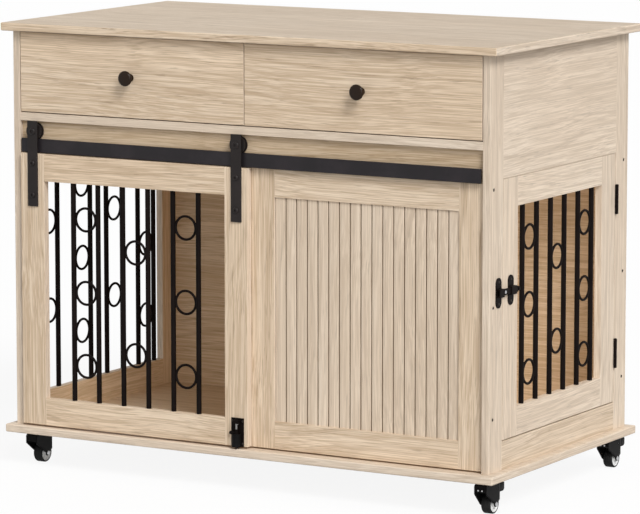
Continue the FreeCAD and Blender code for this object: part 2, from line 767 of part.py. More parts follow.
def make_hinges():
    """Butt hinges in the gap between the side door and the rear post, with their pins outside."""
    third = hinge_height / 3
    leaf_x = (outer_x - hinge_leaf_depth, hinge_x)
    door_leaf_y = (side_door_y[1], side_door_y[1] + hinge_leaf_thickness)
    post_leaf_y = (side_y[1] - hinge_leaf_thickness, side_y[1])
    post_solids = []
    door_solids = []
    for middle_z in hinge_zs:
        low = middle_z - hinge_height / 2
        high = low + hinge_height
        axis_foot = V(hinge_x, hinge_y, low)
        middle = rod(axis_foot + along_z * (third + face_clearance), along_z, hinge_knuckle_radius,
                     third - 2 * face_clearance)
        ends = [rod(axis_foot + along_z * start, along_z, hinge_knuckle_radius, third)
                for start in (0, 2 * third)]
        room = hinge_knuckle_radius + face_clearance
        middle_room = rod(axis_foot + along_z * (third - face_clearance / 2), along_z, room,
                          third + face_clearance)
        end_rooms = [rod(axis_foot + along_z * start, along_z, room, third + face_clearance)
                     for start in (0, 2 * third - face_clearance)]
        pin_hole = rod(axis_foot, along_z, hinge_pin_radius + running_clearance, hinge_height)
        door_leaf = box(leaf_x, door_leaf_y, (low, high)).cut(end_rooms)
        post_leaf = box(leaf_x, post_leaf_y, (low, high)).cut(middle_room)
        door_solids.append(joined(door_leaf, middle).cut(pin_hole))
        post_solids.append(joined(post_leaf, *ends).cut(pin_hole))
        pin = rod(axis_foot, along_z, hinge_pin_radius, hinge_height)
        caps = [rod(axis_foot - along_z * hinge_pin_head_height, along_z, hinge_pin_head_radius,
                    hinge_pin_head_height),
                rod(axis_foot + along_z * hinge_height, along_z, hinge_pin_head_radius,
                    hinge_pin_head_height)]
        post_solids.append(joined(pin, *caps))
    save("hinge_post_leaves", *post_solids)
    save("hinge_door_leaves", *door_solids)


def make_latch():
    """Sliding latch of the side door: keeper on the post, housing on the door, and the bolt."""
    plate_x = (outer_x, outer_x + latch_plate_thickness)
    half_tongue = latch_tongue_height / 2
    tunnel_x = (latch_x - latch_tongue_thickness / 2 - latch_slide_gap,
                latch_x + latch_tongue_thickness / 2 + latch_slide_gap)
    tunnel_z = (latch_z - half_tongue - latch_slide_gap, latch_z + half_tongue + latch_slide_gap)
    sleeve_x = (plate_x[0], tunnel_x[1] + latch_wall)
    sleeve_z = (tunnel_z[0] - latch_wall, tunnel_z[1] + latch_wall)

    loop_y = (keeper_y - latch_keeper_length / 2, keeper_y + latch_keeper_length / 2)
    keeper = joined(rounded_plate(keeper_y, latch_plate_length, latch_plate_width, plate_x),
                    box(sleeve_x, loop_y, sleeve_z))
    save("latch_keeper", keeper.cut(box(tunnel_x, loop_y, tunnel_z)))

    housing = joined(rounded_plate(latch_plate_y, latch_plate_length, latch_plate_width, plate_x),
                     box(sleeve_x, housing_y, sleeve_z))
    save("side_latch_plate", housing.cut(box(tunnel_x, housing_y, tunnel_z)))

    tongue_x = (latch_x - latch_tongue_thickness / 2, latch_x + latch_tongue_thickness / 2)
    tongue = box(tongue_x, (latch_tip_y, latch_tail_y), (latch_z - half_tongue, latch_z + half_tongue))
    lock_hole = rod(V(tongue_x[0], latch_tip_y + latch_hole_setback, latch_z), along_x, latch_hole_radius,
                    latch_tongue_thickness)
    pull = rod(V(latch_x, latch_tail_y, latch_z), along_y, latch_pull_radius, latch_pull_length)
    save("side_latch_bolt", joined(tongue.cut(lock_hole), pull))


def make_drawer(side, name):
    """One drawer: front, box with its bottom, knob with its screw, and the sliding rails."""
    def placed(solid):
        return mirrored(solid) if side < 0 else solid

    middle_x = sum(drawer_front_x) / 2
    middle_z = sum(drawer_front_z) / 2
    knob_hole_length = board + drawer_wall
    screw_seat = V(middle_x, front + board + drawer_wall, middle_z)
    screw_hole = rod(V(middle_x, front, middle_z), along_y, knob_screw_radius + hole_clearance,
                     knob_hole_length)
    face = board_solid(drawer_front_x, (front, front + board), drawer_front_z)
    save(f"{name}_drawer_front", placed(face.cut(screw_hole)))

    box_x = (drawer_cell_x[0] + runner_depth, drawer_cell_x[1] - runner_depth)
    inside_x = (box_x[0] + drawer_wall, box_x[1] - drawer_wall)
    inside_y = (drawer_box_y[0] + drawer_wall, drawer_box_y[1] - drawer_wall)
    bottom_z = drawer_box_z[0] + drawer_bottom_lift
    walls = [
        board_solid((box_x[0], inside_x[0]), drawer_box_y, drawer_box_z),
        board_solid((inside_x[1], box_x[1]), drawer_box_y, drawer_box_z),
        board_solid(inside_x, (drawer_box_y[0], inside_y[0]), drawer_box_z).cut(screw_hole),
        board_solid(inside_x, (inside_y[1], drawer_box_y[1]), drawer_box_z),
        box(inside_x, inside_y, (bottom_z, bottom_z + drawer_bottom)),
    ]
    save(f"{name}_drawer_box", *[placed(wall) for wall in walls])

    head_start = V(middle_x, front - knob_reach, middle_z)
    head = rod(head_start, along_y, knob_radius, knob_head_thickness)
    rims = [edge for edge in head.Edges if isinstance(edge.Curve, Part.Circle)]
    stem_length = knob_reach - knob_head_thickness
    stem = Part.makeCone(knob_stem_radius, knob_foot_radius, stem_length,
                         head_start + along_y * knob_head_thickness, along_y)
    knob = joined(head.makeFillet(knob_head_round, rims), stem)
    thread = knob_screw_depth + knob_hole_length
    knob_bore = rod(V(middle_x, front, middle_z), along_y * -1, knob_screw_radius + hole_clearance,
                    knob_screw_depth)
    knob_screw = screw(screw_seat, along_y * -1, knob_screw_head_radius, knob_screw_head_height,
                       knob_screw_radius, thread)
    save(f"{name}_drawer_knob", placed(knob.cut(knob_bore)), placed(knob_screw))

    channels = []
    rails = []
    for wall_x, away in ((drawer_cell_x[0], 1), (drawer_cell_x[1], -1)):
        channel, rail = make_runner(wall_x, away)
        channels.append(placed(channel))
        rails.append(placed(rail))
    save(f"{name}_drawer_rails", *rails)
    return channels


def make_runner(wall_x, away):
    """Channel on the carcass and rail on the drawer, one nested in the other."""
    drawer_x = wall_x + away * runner_depth
    web_x = sorted((wall_x, wall_x + away * runner_sheet))
    lip_x = sorted((wall_x, drawer_x - away * (runner_sheet + face_clearance)))
    channel = joined(box(web_x, runner_y, runner_z),
                     box(lip_x, runner_y, (runner_z[0], runner_z[0] + runner_sheet)),
                     box(lip_x, runner_y, (runner_z[1] - runner_sheet, runner_z[1])))
    rail_z = (runner_z[0] + runner_sheet + face_clearance, runner_z[1] - runner_sheet - face_clearance)
    rail_web = sorted((drawer_x, drawer_x - away * runner_sheet))
    rail_lip = sorted((drawer_x, wall_x + away * (runner_sheet + face_clearance)))
    rail = joined(box(rail_web, runner_y, rail_z),
                  box(rail_lip, runner_y, (rail_z[0], rail_z[0] + runner_sheet)),
                  box(rail_lip, runner_y, (rail_z[1] - runner_sheet, rail_z[1])))
    return channel, rail


os.makedirs("parts", exist_ok=True)
carcass_screws, carcass_holes = make_carcass_screws()
caster_screws, caster_holes = make_casters()
save("fixing_screws", *carcass_screws, *caster_screws)
make_slabs(caster_holes)
make_side_frames(carcass_holes)
make_inner_boards(carcass_holes)
make_fixed_panel(carcass_holes)
make_barn_door()
make_drop_bolt()
make_side_door()
make_hinges()
make_latch()
save("drawer_channels", *make_drawer(-1, "left"), *make_drawer(1, "right"))
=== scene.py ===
import json
import math

import bmesh
import bpy
import numpy as np
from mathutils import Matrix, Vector


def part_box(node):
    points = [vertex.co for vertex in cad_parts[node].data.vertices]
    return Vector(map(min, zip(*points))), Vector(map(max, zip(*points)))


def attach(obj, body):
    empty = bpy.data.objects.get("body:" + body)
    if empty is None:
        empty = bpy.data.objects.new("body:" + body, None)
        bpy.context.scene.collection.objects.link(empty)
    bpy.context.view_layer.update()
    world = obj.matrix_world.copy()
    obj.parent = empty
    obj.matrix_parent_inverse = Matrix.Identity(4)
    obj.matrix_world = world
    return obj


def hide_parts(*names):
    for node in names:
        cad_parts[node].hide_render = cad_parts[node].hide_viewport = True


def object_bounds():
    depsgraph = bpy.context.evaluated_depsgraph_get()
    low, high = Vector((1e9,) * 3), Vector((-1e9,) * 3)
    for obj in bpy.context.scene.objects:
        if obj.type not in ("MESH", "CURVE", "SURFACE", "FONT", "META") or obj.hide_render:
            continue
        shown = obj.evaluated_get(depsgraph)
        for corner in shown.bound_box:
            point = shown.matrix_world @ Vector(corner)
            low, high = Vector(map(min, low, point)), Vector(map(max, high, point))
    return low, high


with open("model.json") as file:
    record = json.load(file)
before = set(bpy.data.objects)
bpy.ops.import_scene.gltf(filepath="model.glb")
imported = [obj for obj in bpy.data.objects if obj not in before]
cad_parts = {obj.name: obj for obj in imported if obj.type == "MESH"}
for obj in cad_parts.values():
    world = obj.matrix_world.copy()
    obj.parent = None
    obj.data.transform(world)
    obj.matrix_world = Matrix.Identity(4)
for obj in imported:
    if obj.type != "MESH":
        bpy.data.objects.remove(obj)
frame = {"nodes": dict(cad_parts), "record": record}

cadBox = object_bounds()
nodes = frame["nodes"]
print("frame loaded:", len(nodes), "nodes")


# Shader node helpers

def fill(tree, socket, value):
    # a socket takes either a link from another socket or a constant
    if isinstance(value, bpy.types.NodeSocket):
        tree.links.new(value, socket)
    else:
        socket.default_value = value


def addNode(tree, kind, settings=None, **links):
    # settings are the node's own properties; links fill sockets by name, or by number as i0, i1
    made = tree.nodes.new(kind)
    for key, value in (settings or {}).items():
        setattr(made, key, value)
    for key, value in links.items():
        numbered = key[0] == "i" and key[1:].isdigit()
        fill(tree, made.inputs[int(key[1:]) if numbered else key.replace("_", " ")], value)
    return made


def mathNode(tree, operation, first, second=0.0):
    return addNode(tree, "ShaderNodeMath", {"operation": operation}, i0=first, i1=second).outputs[0]


def vectorMath(tree, operation, first, second=(0.0, 0.0, 0.0)):
    return addNode(tree, "ShaderNodeVectorMath", {"operation": operation}, i0=first, i1=second).outputs[0]


def noiseNode(tree, vector, scale, detail, roughness):
    # fractal noise on a vector stretched by a different scale on each axis
    spread = vectorMath(tree, "MULTIPLY", vector, scale)
    return addNode(tree, "ShaderNodeTexNoise", Vector=spread, Scale=1.0, Detail=detail,
                   Roughness=roughness).outputs["Fac"]


def remapped(tree, value, low, high, newLow=0.0, newHigh=1.0):
    # smooth step from one range to another
    made = addNode(tree, "ShaderNodeMapRange", {"interpolation_type": "SMOOTHSTEP"}, Value=value,
                   From_Min=low, From_Max=high, To_Min=newLow, To_Max=newHigh)
    return made.outputs[0]


def mixColour(tree, factor, first, second):
    return addNode(tree, "ShaderNodeMix", {"data_type": "RGBA"}, i0=factor, i6=first, i7=second).outputs[2]


def mixValue(tree, factor, first, second):
    return addNode(tree, "ShaderNodeMix", {"data_type": "FLOAT"}, i0=factor, i2=first, i3=second).outputs[0]


def mixVector(tree, factor, first, second):
    return addNode(tree, "ShaderNodeMix", {"data_type": "VECTOR"}, i0=factor, i4=first, i5=second).outputs[1]


def newGroup(name, inputs, outputs):
    tree = bpy.data.node_groups.new(name, "ShaderNodeTree")
    for label, kind, value in inputs:
        socket = tree.interface.new_socket(name=label, in_out="INPUT", socket_type=kind)
        if value is not None:
            socket.default_value = value
    for label, kind in outputs:
        tree.interface.new_socket(name=label, in_out="OUTPUT", socket_type=kind)
    return tree, tree.nodes.new("NodeGroupInput").outputs, tree.nodes.new("NodeGroupOutput").inputs


def newMaterial(name):
    made = bpy.data.materials.new(name)
    made.use_nodes = True
    return made, made.node_tree, made.node_tree.nodes["Principled BSDF"]


def bumped(tree, shader, height, strength, distance):
    made = addNode(tree, "ShaderNodeBump", Height=height, Strength=strength, Distance=distance)
    tree.links.new(made.outputs[0], shader.inputs["Normal"])


# Oak film: streaks along the grain, bent growth bands, short pores and a slow drift of tone

oak = {
    "pale": (0.835, 0.686, 0.520, 1.0),
    "blush": (0.850, 0.660, 0.470, 1.0),
    "deep": (0.545, 0.396, 0.253, 1.0),
    "late": (0.400, 0.268, 0.152, 1.0),
    "pore": (0.270, 0.175, 0.095, 1.0),
    "bandsPerMetre": (46.0, 34.0),
    "bandBend": 7.0,
    "bandRipple": 0.5,
    "bandNoise": {"Scale": 1.7, "Detail": 4.0, "Roughness": 0.62},
    "bend": ((1.1, 5.5, 5.5), 2.0, 0.45),  # cells per metre along and across the grain, detail, roughness
    "ripple": ((3.0, 30.0, 30.0), 2.0, 0.5),
    "sway": ((1.5, 3.5, 3.5), 2.0, 0.5),
    "swayReach": 0.045,
    "streak": ((1.8, 150.0, 150.0), 3.0, 0.55),
    "fibre": ((5.5, 480.0, 480.0), 2.0, 0.6),
    "drift": ((1.5, 8.0, 8.0), 2.0, 0.5),
    "blushPatch": ((1.0, 6.0, 6.0), 2.0, 0.5),
    "pores": ((22.0, 400.0, 400.0), 2.0, 0.5),
    "driftTone": (0.28, 0.72, -0.17, 0.17),  # noise from, noise to, result from, result to
    "streakTone": (0.28, 0.72, 0.00, 0.36),
    "fibreTone": (0.35, 0.65, 0.04, 0.88),
    "blushShare": (0.42, 0.70, 0.0, 0.85),
    "lateShare": (0.50, 0.74, 0.0, 0.58),
    "lateBreaks": (0.25, 0.6, 0.35, 1.0),
    "poreShare": (0.56, 0.68),
    "poreBands": (0.35, 0.7, 0.25, 1.0),
    "poreDepth": 0.6,
    "edgePores": 1.0,
    "roughness": (0.2, 0.8, 0.44, 0.60),
    "fibreHeight": 0.35,
    "bump": (0.25, 0.0006),
    "specular": 0.12,
    "square": 0.75,  # a face counts as turned to an axis past this part of its normal
    "shiftShares": np.array([1.0, 0.37, 0.61]),
}


def makeOakGroup():
    # x of the vector runs along the grain; the bands are contours of a plane bent by slow noise
    tree, given, result = newGroup("oakGrain", [
        ("Vector", "NodeSocketVector", None), ("Tone", "NodeSocketFloat", 0.0),
        ("WashAndPaintedLight", "NodeSocketColor", None), ("Share", "NodeSocketFloat", 0.0),
        ("Pores", "NodeSocketFloat", oak["poreDepth"]),
    ], [("Color", "NodeSocketColor"), ("Roughness", "NodeSocketFloat"), ("Height", "NodeSocketFloat")])
    straight = given["Vector"]
    sway = mathNode(tree, "SUBTRACT", noiseNode(tree, straight, *oak["sway"]), 0.5)
    shift = mathNode(tree, "MULTIPLY", sway, oak["swayReach"])
    aside = addNode(tree, "ShaderNodeCombineXYZ", Y=shift, Z=shift).outputs[0]
    vector = vectorMath(tree, "ADD", straight, aside)
    parts = addNode(tree, "ShaderNodeSeparateXYZ", Vector=vector).outputs
    bend = noiseNode(tree, vector, *oak["bend"])
    ripple = noiseNode(tree, vector, *oak["ripple"])
    across = mathNode(tree, "ADD", mathNode(tree, "MULTIPLY", parts[1], oak["bandsPerMetre"][0]),
                      mathNode(tree, "MULTIPLY", parts[2], oak["bandsPerMetre"][1]))
    bent = mathNode(tree, "ADD", across, mathNode(tree, "MULTIPLY", bend, oak["bandBend"]))
    phase = mathNode(tree, "ADD", bent, mathNode(tree, "MULTIPLY", ripple, oak["bandRipple"]))
    band = addNode(tree, "ShaderNodeTexNoise", {"noise_dimensions": "1D"}, W=phase,
                   **oak["bandNoise"]).outputs["Fac"]
    streak = noiseNode(tree, vector, *oak["streak"])
    fibre = noiseNode(tree, vector, *oak["fibre"])
    pores = noiseNode(tree, vector, *oak["pores"])
    drift = noiseNode(tree, vector, *oak["drift"])
    patch = noiseNode(tree, vector, *oak["blushPatch"])

    tone = mathNode(tree, "ADD", remapped(tree, drift, *oak["driftTone"]), given["Tone"])
    fine = mathNode(tree, "ADD", remapped(tree, streak, *oak["streakTone"]),
                    remapped(tree, fibre, *oak["fibreTone"]))
    lean = mathNode(tree, "ADD", fine, tone)
    palest = mixColour(tree, remapped(tree, patch, *oak["blushShare"]), oak["pale"], oak["blush"])
    ground = mixColour(tree, lean, palest, oak["deep"])
    lateMask = mathNode(tree, "MULTIPLY", remapped(tree, band, *oak["lateShare"]),
                        remapped(tree, streak, *oak["lateBreaks"]))
    banded = mixColour(tree, lateMask, ground, oak["late"])
    poreShare = mathNode(tree, "MULTIPLY", remapped(tree, pores, *oak["poreShare"]), given["Pores"])
    poreMask = mathNode(tree, "MULTIPLY", poreShare, remapped(tree, band, *oak["poreBands"]))
    grained = mixColour(tree, poreMask, banded, oak["pore"])
    fill(tree, result["Color"], mixColour(tree, given["Share"], grained, given["WashAndPaintedLight"]))
    fill(tree, result["Roughness"], remapped(tree, fibre, *oak["roughness"]))
    depth = mathNode(tree, "MULTIPLY", fibre, oak["fibreHeight"])
    fill(tree, result["Height"], mathNode(tree, "SUBTRACT", depth, poreMask))
    return tree


oakGroup = makeOakGroup()
grainTurn = {"x": (0.0, 0.0, 0.0), "y": (0.0, 0.0, -math.pi / 2), "z": (0.0, math.pi / 2, 0.0)}

# Films over the grain, by where the board is: colour and how much of the grain it covers; the films for the
# sides are painted light, and those for the top's upper face, the header, the crate's inside and the
# partition's edges are painted shade
washesAndPaintedLight = {
    "front": {"washAndPaintedLight": (0.740, 0.655, 0.565, 1.0), "share": 0.15},
    # painted light: paler, cooler film for the light from the side
    "side": {"washAndPaintedLight": (0.700, 0.643, 0.585, 1.0), "share": 0.38},
    "edge": {"washAndPaintedLight": (0.740, 0.680, 0.610, 1.0), "share": 0.40},
    "slat": {"washAndPaintedLight": (0.720, 0.628, 0.535, 1.0), "share": 0.42},
    # painted shade: greyer film on the top's upper face
    "top": {"washAndPaintedLight": (0.500, 0.452, 0.398, 1.0), "share": 0.38},
    "apron": {"washAndPaintedLight": (0.570, 0.510, 0.445, 1.0), "share": 0.30},
    # painted shade: darker film on the header, recessed under the shelf
    "header": {"washAndPaintedLight": (0.350, 0.260, 0.160, 1.0), "share": 0.38},
    # painted shade: warmer, deeper film on faces inside the crate
    "inner": {"washAndPaintedLight": (0.600, 0.425, 0.255, 1.0), "share": 0.34},
    # painted shade: dark film on the partition's edges, seen as the gap between the drawers
    "gapShade": {"washAndPaintedLight": (0.160, 0.100, 0.055, 1.0), "share": 0.75},
}
room = {"frontSkip": 0.0008, "tolerance": 0.0004}


def insideMask(tree, place):
    # one on the faces that look into the crate: behind the front, between posts, floor, shelf and back; these
    # get painted shade
    header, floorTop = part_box("header_board"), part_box("base_board")[1].z
    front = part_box("fixed_panel_stiles")[0].y + room["frontSkip"]
    low = np.array([header[0].x, front, floorTop])
    high = np.array([header[1].x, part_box("back_panel")[0].y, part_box("drawer_shelf")[0].z])
    offset = vectorMath(tree, "ABSOLUTE", vectorMath(tree, "SUBTRACT", place, tuple((low + high) / 2)))
    past = vectorMath(tree, "SUBTRACT", offset, tuple((high - low) / 2))
    parts = addNode(tree, "ShaderNodeSeparateXYZ", Vector=past).outputs
    most = mathNode(tree, "MAXIMUM", mathNode(tree, "MAXIMUM", parts[0], parts[1]), parts[2])
    return mathNode(tree, "LESS_THAN", most, room["tolerance"])


def squareTo(tree, normal, axis):
    # one on the faces that look along an axis, either way
    facing = mathNode(tree, "ABSOLUTE", normal["xyz".index(axis)])
    return mathNode(tree, "GREATER_THAN", facing, oak["square"])


def oakMaterial(name, grain, ends, shift, washAndPaintedLight, tone=None, shade=None):
    # the grain runs along one axis, and along another on the taped ends that face down the first;
    # faces that look left or right get painted light, the paler film of the sides, and those inside get
    # painted shade, a warmer one;
    # the top gets painted shade, its own greyer film, on its upper face alone, and its edges show deeper
    # pores
    made, tree, shader = newMaterial(name)
    coordinates = addNode(tree, "ShaderNodeTexCoord").outputs
    place = coordinates["Object"]
    moved = tuple(shift * oak["shiftShares"])
    vectors = [addNode(tree, "ShaderNodeMapping", Vector=place, Rotation=grainTurn[axis],
                       Location=moved).outputs[0] for axis in (grain, ends)]
    normal = addNode(tree, "ShaderNodeSeparateXYZ", Vector=coordinates["Normal"]).outputs
    vector = mixVector(tree, squareTo(tree, normal, grain), *vectors)
    wood = addNode(tree, "ShaderNodeGroup", {"node_tree": oakGroup}, Vector=vector)
    base = washesAndPaintedLight["front" if washAndPaintedLight == "top" else washAndPaintedLight]
    washColourAndLight, share = base["washAndPaintedLight"], base["share"]
    # painted light: the side film on faces that look left or right
    layers = [] if washAndPaintedLight in ("side", "apron") else [(squareTo(tree, normal, "x"), washesAndPaintedLight["side"])]
    # painted shade: the top's greyer film on its upper face
    if washAndPaintedLight == "top":
        upward = squareTo(tree, normal, "z")
        layers.append((upward, washesAndPaintedLight["top"]))
        fill(tree, wood.inputs["Pores"], mixValue(tree, upward, oak["edgePores"], oak["poreDepth"]))
    # painted shade: the warmer film on faces inside the crate
    if washAndPaintedLight in ("side", "apron", "edge"):
        layers.append((insideMask(tree, place), washesAndPaintedLight["inner"]))
    for mask, layer in layers:
        washColourAndLight = mixColour(tree, mask, washColourAndLight, layer["washAndPaintedLight"])
        share = mixValue(tree, mask, share, layer["share"])
    fill(tree, wood.inputs["WashAndPaintedLight"], washColourAndLight)
    fill(tree, wood.inputs["Share"], share)
    if tone:
        fill(tree, wood.inputs["Tone"], tone(tree, place))
    colour = shade(tree, place, wood.outputs["Color"]) if shade else wood.outputs["Color"]
    tree.links.new(colour, shader.inputs["Base Color"])
    tree.links.new(wood.outputs["Roughness"], shader.inputs["Roughness"])
    shader.inputs["Specular IOR Level"].default_value = oak["specular"]
    bumped(tree, shader, wood.outputs["Height"], *oak["bump"])
    return made


# Coats: paint, plastic, rubber and zinc with a fine speckle and rubbed patches

speckle = {"fine": {"Detail": 3.0, "Roughness": 0.6}, "fineRub": (0.35, 0.75, 0.0, 0.3),
           "broad": {"Scale": 22.0, "Detail": 3.0, "Roughness": 0.55}, "broadRub": (0.35, 0.75, 0.0, 0.7),
           "bumpDistance": 0.0002}


def makeCoatGroup():
    # the pale colour shows where a broad and a fine noise together say that the coat is rubbed
    tree, given, result = newGroup("coatSpeckle", [
        ("Vector", "NodeSocketVector", None), ("Grain", "NodeSocketFloat", 900.0),
        ("Dark", "NodeSocketColor", None), ("Pale", "NodeSocketColor", None),
        ("Smooth", "NodeSocketFloat", 0.35), ("Rough", "NodeSocketFloat", 0.55),
    ], [("Color", "NodeSocketColor"), ("Roughness", "NodeSocketFloat"), ("Height", "NodeSocketFloat")])
    fine = addNode(tree, "ShaderNodeTexNoise", Vector=given["Vector"], Scale=given["Grain"],
                   **speckle["fine"]).outputs["Fac"]
    broad = addNode(tree, "ShaderNodeTexNoise", Vector=given["Vector"], **speckle["broad"]).outputs["Fac"]
    rubAndGlint = mathNode(tree, "ADD", remapped(tree, broad, *speckle["broadRub"]),
                   remapped(tree, fine, *speckle["fineRub"]))
    fill(tree, result["Color"], mixColour(tree, rubAndGlint, given["Dark"], given["Pale"]))
    spread = mathNode(tree, "SUBTRACT", given["Rough"], given["Smooth"])
    fill(tree, result["Roughness"], mathNode(tree, "ADD", given["Smooth"],
                                             mathNode(tree, "MULTIPLY", spread, fine)))
    fill(tree, result["Height"], fine)
    return tree


coatGroup = makeCoatGroup()
coats = {
    "blackMetal": {"dark": (0.012, 0.009, 0.0085, 1), "pale": (0.023, 0.017, 0.016, 1), "grain": 1400.0,
                   "smooth": 0.36, "rough": 0.54, "bump": 0.12, "metallic": 0.0, "specular": 0.22},
    "trackBlack": {"dark": (0.0125, 0.0102, 0.0118, 1), "pale": (0.0235, 0.0190, 0.0215, 1), "grain": 1400.0,
                   "smooth": 0.36, "rough": 0.54, "bump": 0.12, "metallic": 0.0, "specular": 0.24},
    "barBlack": {"dark": (0.0050, 0.0032, 0.0028, 1), "pale": (0.0100, 0.0066, 0.0058, 1), "grain": 1400.0,
                 "smooth": 0.42, "rough": 0.60, "bump": 0.12, "metallic": 0.0, "specular": 0.045},
    "casterBlack": {"dark": (0.0050, 0.0046, 0.0046, 1), "pale": (0.0110, 0.0100, 0.0100, 1), "grain": 1100.0,
                    "smooth": 0.30, "rough": 0.48, "bump": 0.10, "metallic": 0.0, "specular": 0.045},
    "bronzeBlack": {"dark": (0.011, 0.005, 0.002, 1), "pale": (0.019, 0.009, 0.004, 1), "grain": 900.0,
                    "smooth": 0.18, "rough": 0.30, "bump": 0.04, "metallic": 0.0, "specular": 0.17},
    "zincSteel": {"dark": (0.46, 0.46, 0.47, 1), "pale": (0.62, 0.62, 0.63, 1), "grain": 700.0,
                  "smooth": 0.26, "rough": 0.48, "bump": 0.05, "metallic": 1.0, "specular": 0.5},
    # painted highlight: bright metal for the strips on the drop bolt
    "glintSteel": {"dark": (0.20, 0.19, 0.18, 1), "pale": (0.36, 0.35, 0.34, 1), "grain": 700.0,
                  "smooth": 0.30, "rough": 0.50, "bump": 0.05, "metallic": 1.0, "specular": 0.5},
    "darkScrew": {"dark": (0.030, 0.024, 0.020, 1), "pale": (0.070, 0.058, 0.050, 1), "grain": 900.0,
                  "smooth": 0.35, "rough": 0.55, "bump": 0.05, "metallic": 0.6, "specular": 0.3},
    "blackRubber": {"dark": (0.010, 0.010, 0.010, 1), "pale": (0.020, 0.020, 0.020, 1), "grain": 600.0,
                    "smooth": 0.55, "rough": 0.85, "bump": 0.25, "metallic": 0.0, "specular": 0.14},
    "greyPlastic": {"dark": (0.66, 0.66, 0.65, 1), "pale": (0.78, 0.78, 0.77, 1), "grain": 500.0,
                    "smooth": 0.38, "rough": 0.56, "bump": 0.05, "metallic": 0.0, "specular": 0.4},
    "blackPlastic": {"dark": (0.011, 0.011, 0.012, 1), "pale": (0.022, 0.022, 0.023, 1), "grain": 800.0,
                     "smooth": 0.34, "rough": 0.52, "bump": 0.15, "metallic": 0.0, "specular": 0.25},
}


def coatMaterial(name, settings):
    made, tree, shader = newMaterial(name)
    place = addNode(tree, "ShaderNodeTexCoord").outputs["Object"]
    coat = addNode(tree, "ShaderNodeGroup", {"node_tree": coatGroup}, Vector=place, Grain=settings["grain"],
                   Dark=settings["dark"], Pale=settings["pale"], Smooth=settings["smooth"],
                   Rough=settings["rough"])
    tree.links.new(coat.outputs["Color"], shader.inputs["Base Color"])
    tree.links.new(coat.outputs["Roughness"], shader.inputs["Roughness"])
    shader.inputs["Metallic"].default_value = settings["metallic"]
    shader.inputs["Specular IOR Level"].default_value = settings["specular"]
    bumped(tree, shader, coat.outputs["Height"], settings["bump"], speckle["bumpDistance"])
    return made


coatMaterials = {name: coatMaterial(name, settings) for name, settings in coats.items()}


# Which finish each CAD node wears: grain axis, grain of its taped ends, wash (for some boards painted light
# or shade)

boards = {
    "top_board": ("x", "y", "top"), "base_board": ("x", "y", "side"), "drawer_shelf": ("x", "y", "edge"),
    "header_board": ("x", "z", "header"), "back_panel": ("x", "z", "side"),
    "left_drawer_front": ("x", "z", "front"), "right_drawer_front": ("x", "z", "front"),
    "fixed_panel_rails": ("x", "z", "front"), "barn_door_rails": ("x", "z", "front"),
    "side_upper_panels": ("y", "z", "side"), "side_lower_aprons": ("y", "z", "apron"),
    "side_door_rails": ("y", "z", "side"), "drawer_partition": ("y", "z", "gapShade"),
    "left_drawer_box": ("y", "x", "front"), "right_drawer_box": ("y", "x", "front"),
    "front_posts": ("z", "y", "side"), "rear_posts": ("z", "y", "side"),
    "fixed_panel_stiles": ("z", "x", "front"), "barn_door_stiles": ("z", "x", "front"),
    "side_door_stiles": ("z", "y", "side"), "fluted_panel": ("z", "x", "slat"),
}
grainShift = {"first": 1.7, "step": 2.3}  # each board is cut from another place in the wood
coatOf = {"black_metal": "blackMetal", "steel": "zincSteel", "tyre": "blackRubber", "hub": "greyPlastic",
          "pedal": "blackPlastic"}
barNodes = ("left_side_grille", "barn_door_grille", "side_door_grille", "hinge_post_leaves",
            "hinge_door_leaves", "latch_keeper", "side_latch_plate", "side_latch_bolt", "barn_bolt_plate",
            "barn_bolt")
# the groove keys set the painted shade in the grooves between slats
slats = {"count": 17, "toneSpread": 0.16, "grooveStart": 0.0006, "grooveEnd": 0.0018, "grooveShade": 0.76,
         "grooveColour": (0.23, 0.150, 0.080, 1.0)}


def slatTone(tree, place):
    # each slat is its own strip of wood: the slat's number picks its tone
    low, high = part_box("fluted_panel")
    along = addNode(tree, "ShaderNodeSeparateXYZ", Vector=place).outputs[0]
    share = mathNode(tree, "DIVIDE", mathNode(tree, "SUBTRACT", along, low.x), high.x - low.x)
    number = mathNode(tree, "FLOOR", mathNode(tree, "MULTIPLY", share, float(slats["count"])))
    pick = addNode(tree, "ShaderNodeTexWhiteNoise", {"noise_dimensions": "1D"}, W=number).outputs["Value"]
    return mathNode(tree, "MULTIPLY", mathNode(tree, "SUBTRACT", pick, 0.5), slats["toneSpread"])


def slatShade(tree, place, colour):
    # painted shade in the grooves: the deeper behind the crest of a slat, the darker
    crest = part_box("fluted_panel")[0].y
    depth = mathNode(tree, "SUBTRACT", addNode(tree, "ShaderNodeSeparateXYZ", Vector=place).outputs[1], crest)
    paintedGrooveShade = remapped(tree, depth, slats["grooveStart"], slats["grooveEnd"], 0.0, slats["grooveShade"])
    return mixColour(tree, paintedGrooveShade, colour, slats["grooveColour"])


def dress(name, material):
    # the node's own mesh stays as it is and gets one material
    mesh = nodes[name].data
    mesh.materials.clear()
    mesh.materials.append(material)


slotOf = {row["node"]: row["material_slot"] for row in frame["record"]["subparts"]}
for number, name in enumerate(sorted(boards)):
    fluted = name == "fluted_panel"
    grain, ends, washAndPaintedLight = boards[name]
    shift = grainShift["first"] + grainShift["step"] * number
    dress(name, oakMaterial("oak_" + name, grain, ends, shift, washAndPaintedLight, slatTone if fluted else None,
                            slatShade if fluted else None))
for name, slot in slotOf.items():
    if slot in coatOf:
        dress(name, coatMaterials["barBlack" if name in barNodes else coatOf[slot]])
dress("door_track", coatMaterials["trackBlack"])
print("finishes on", len(slotOf), "nodes")


# Surface helpers

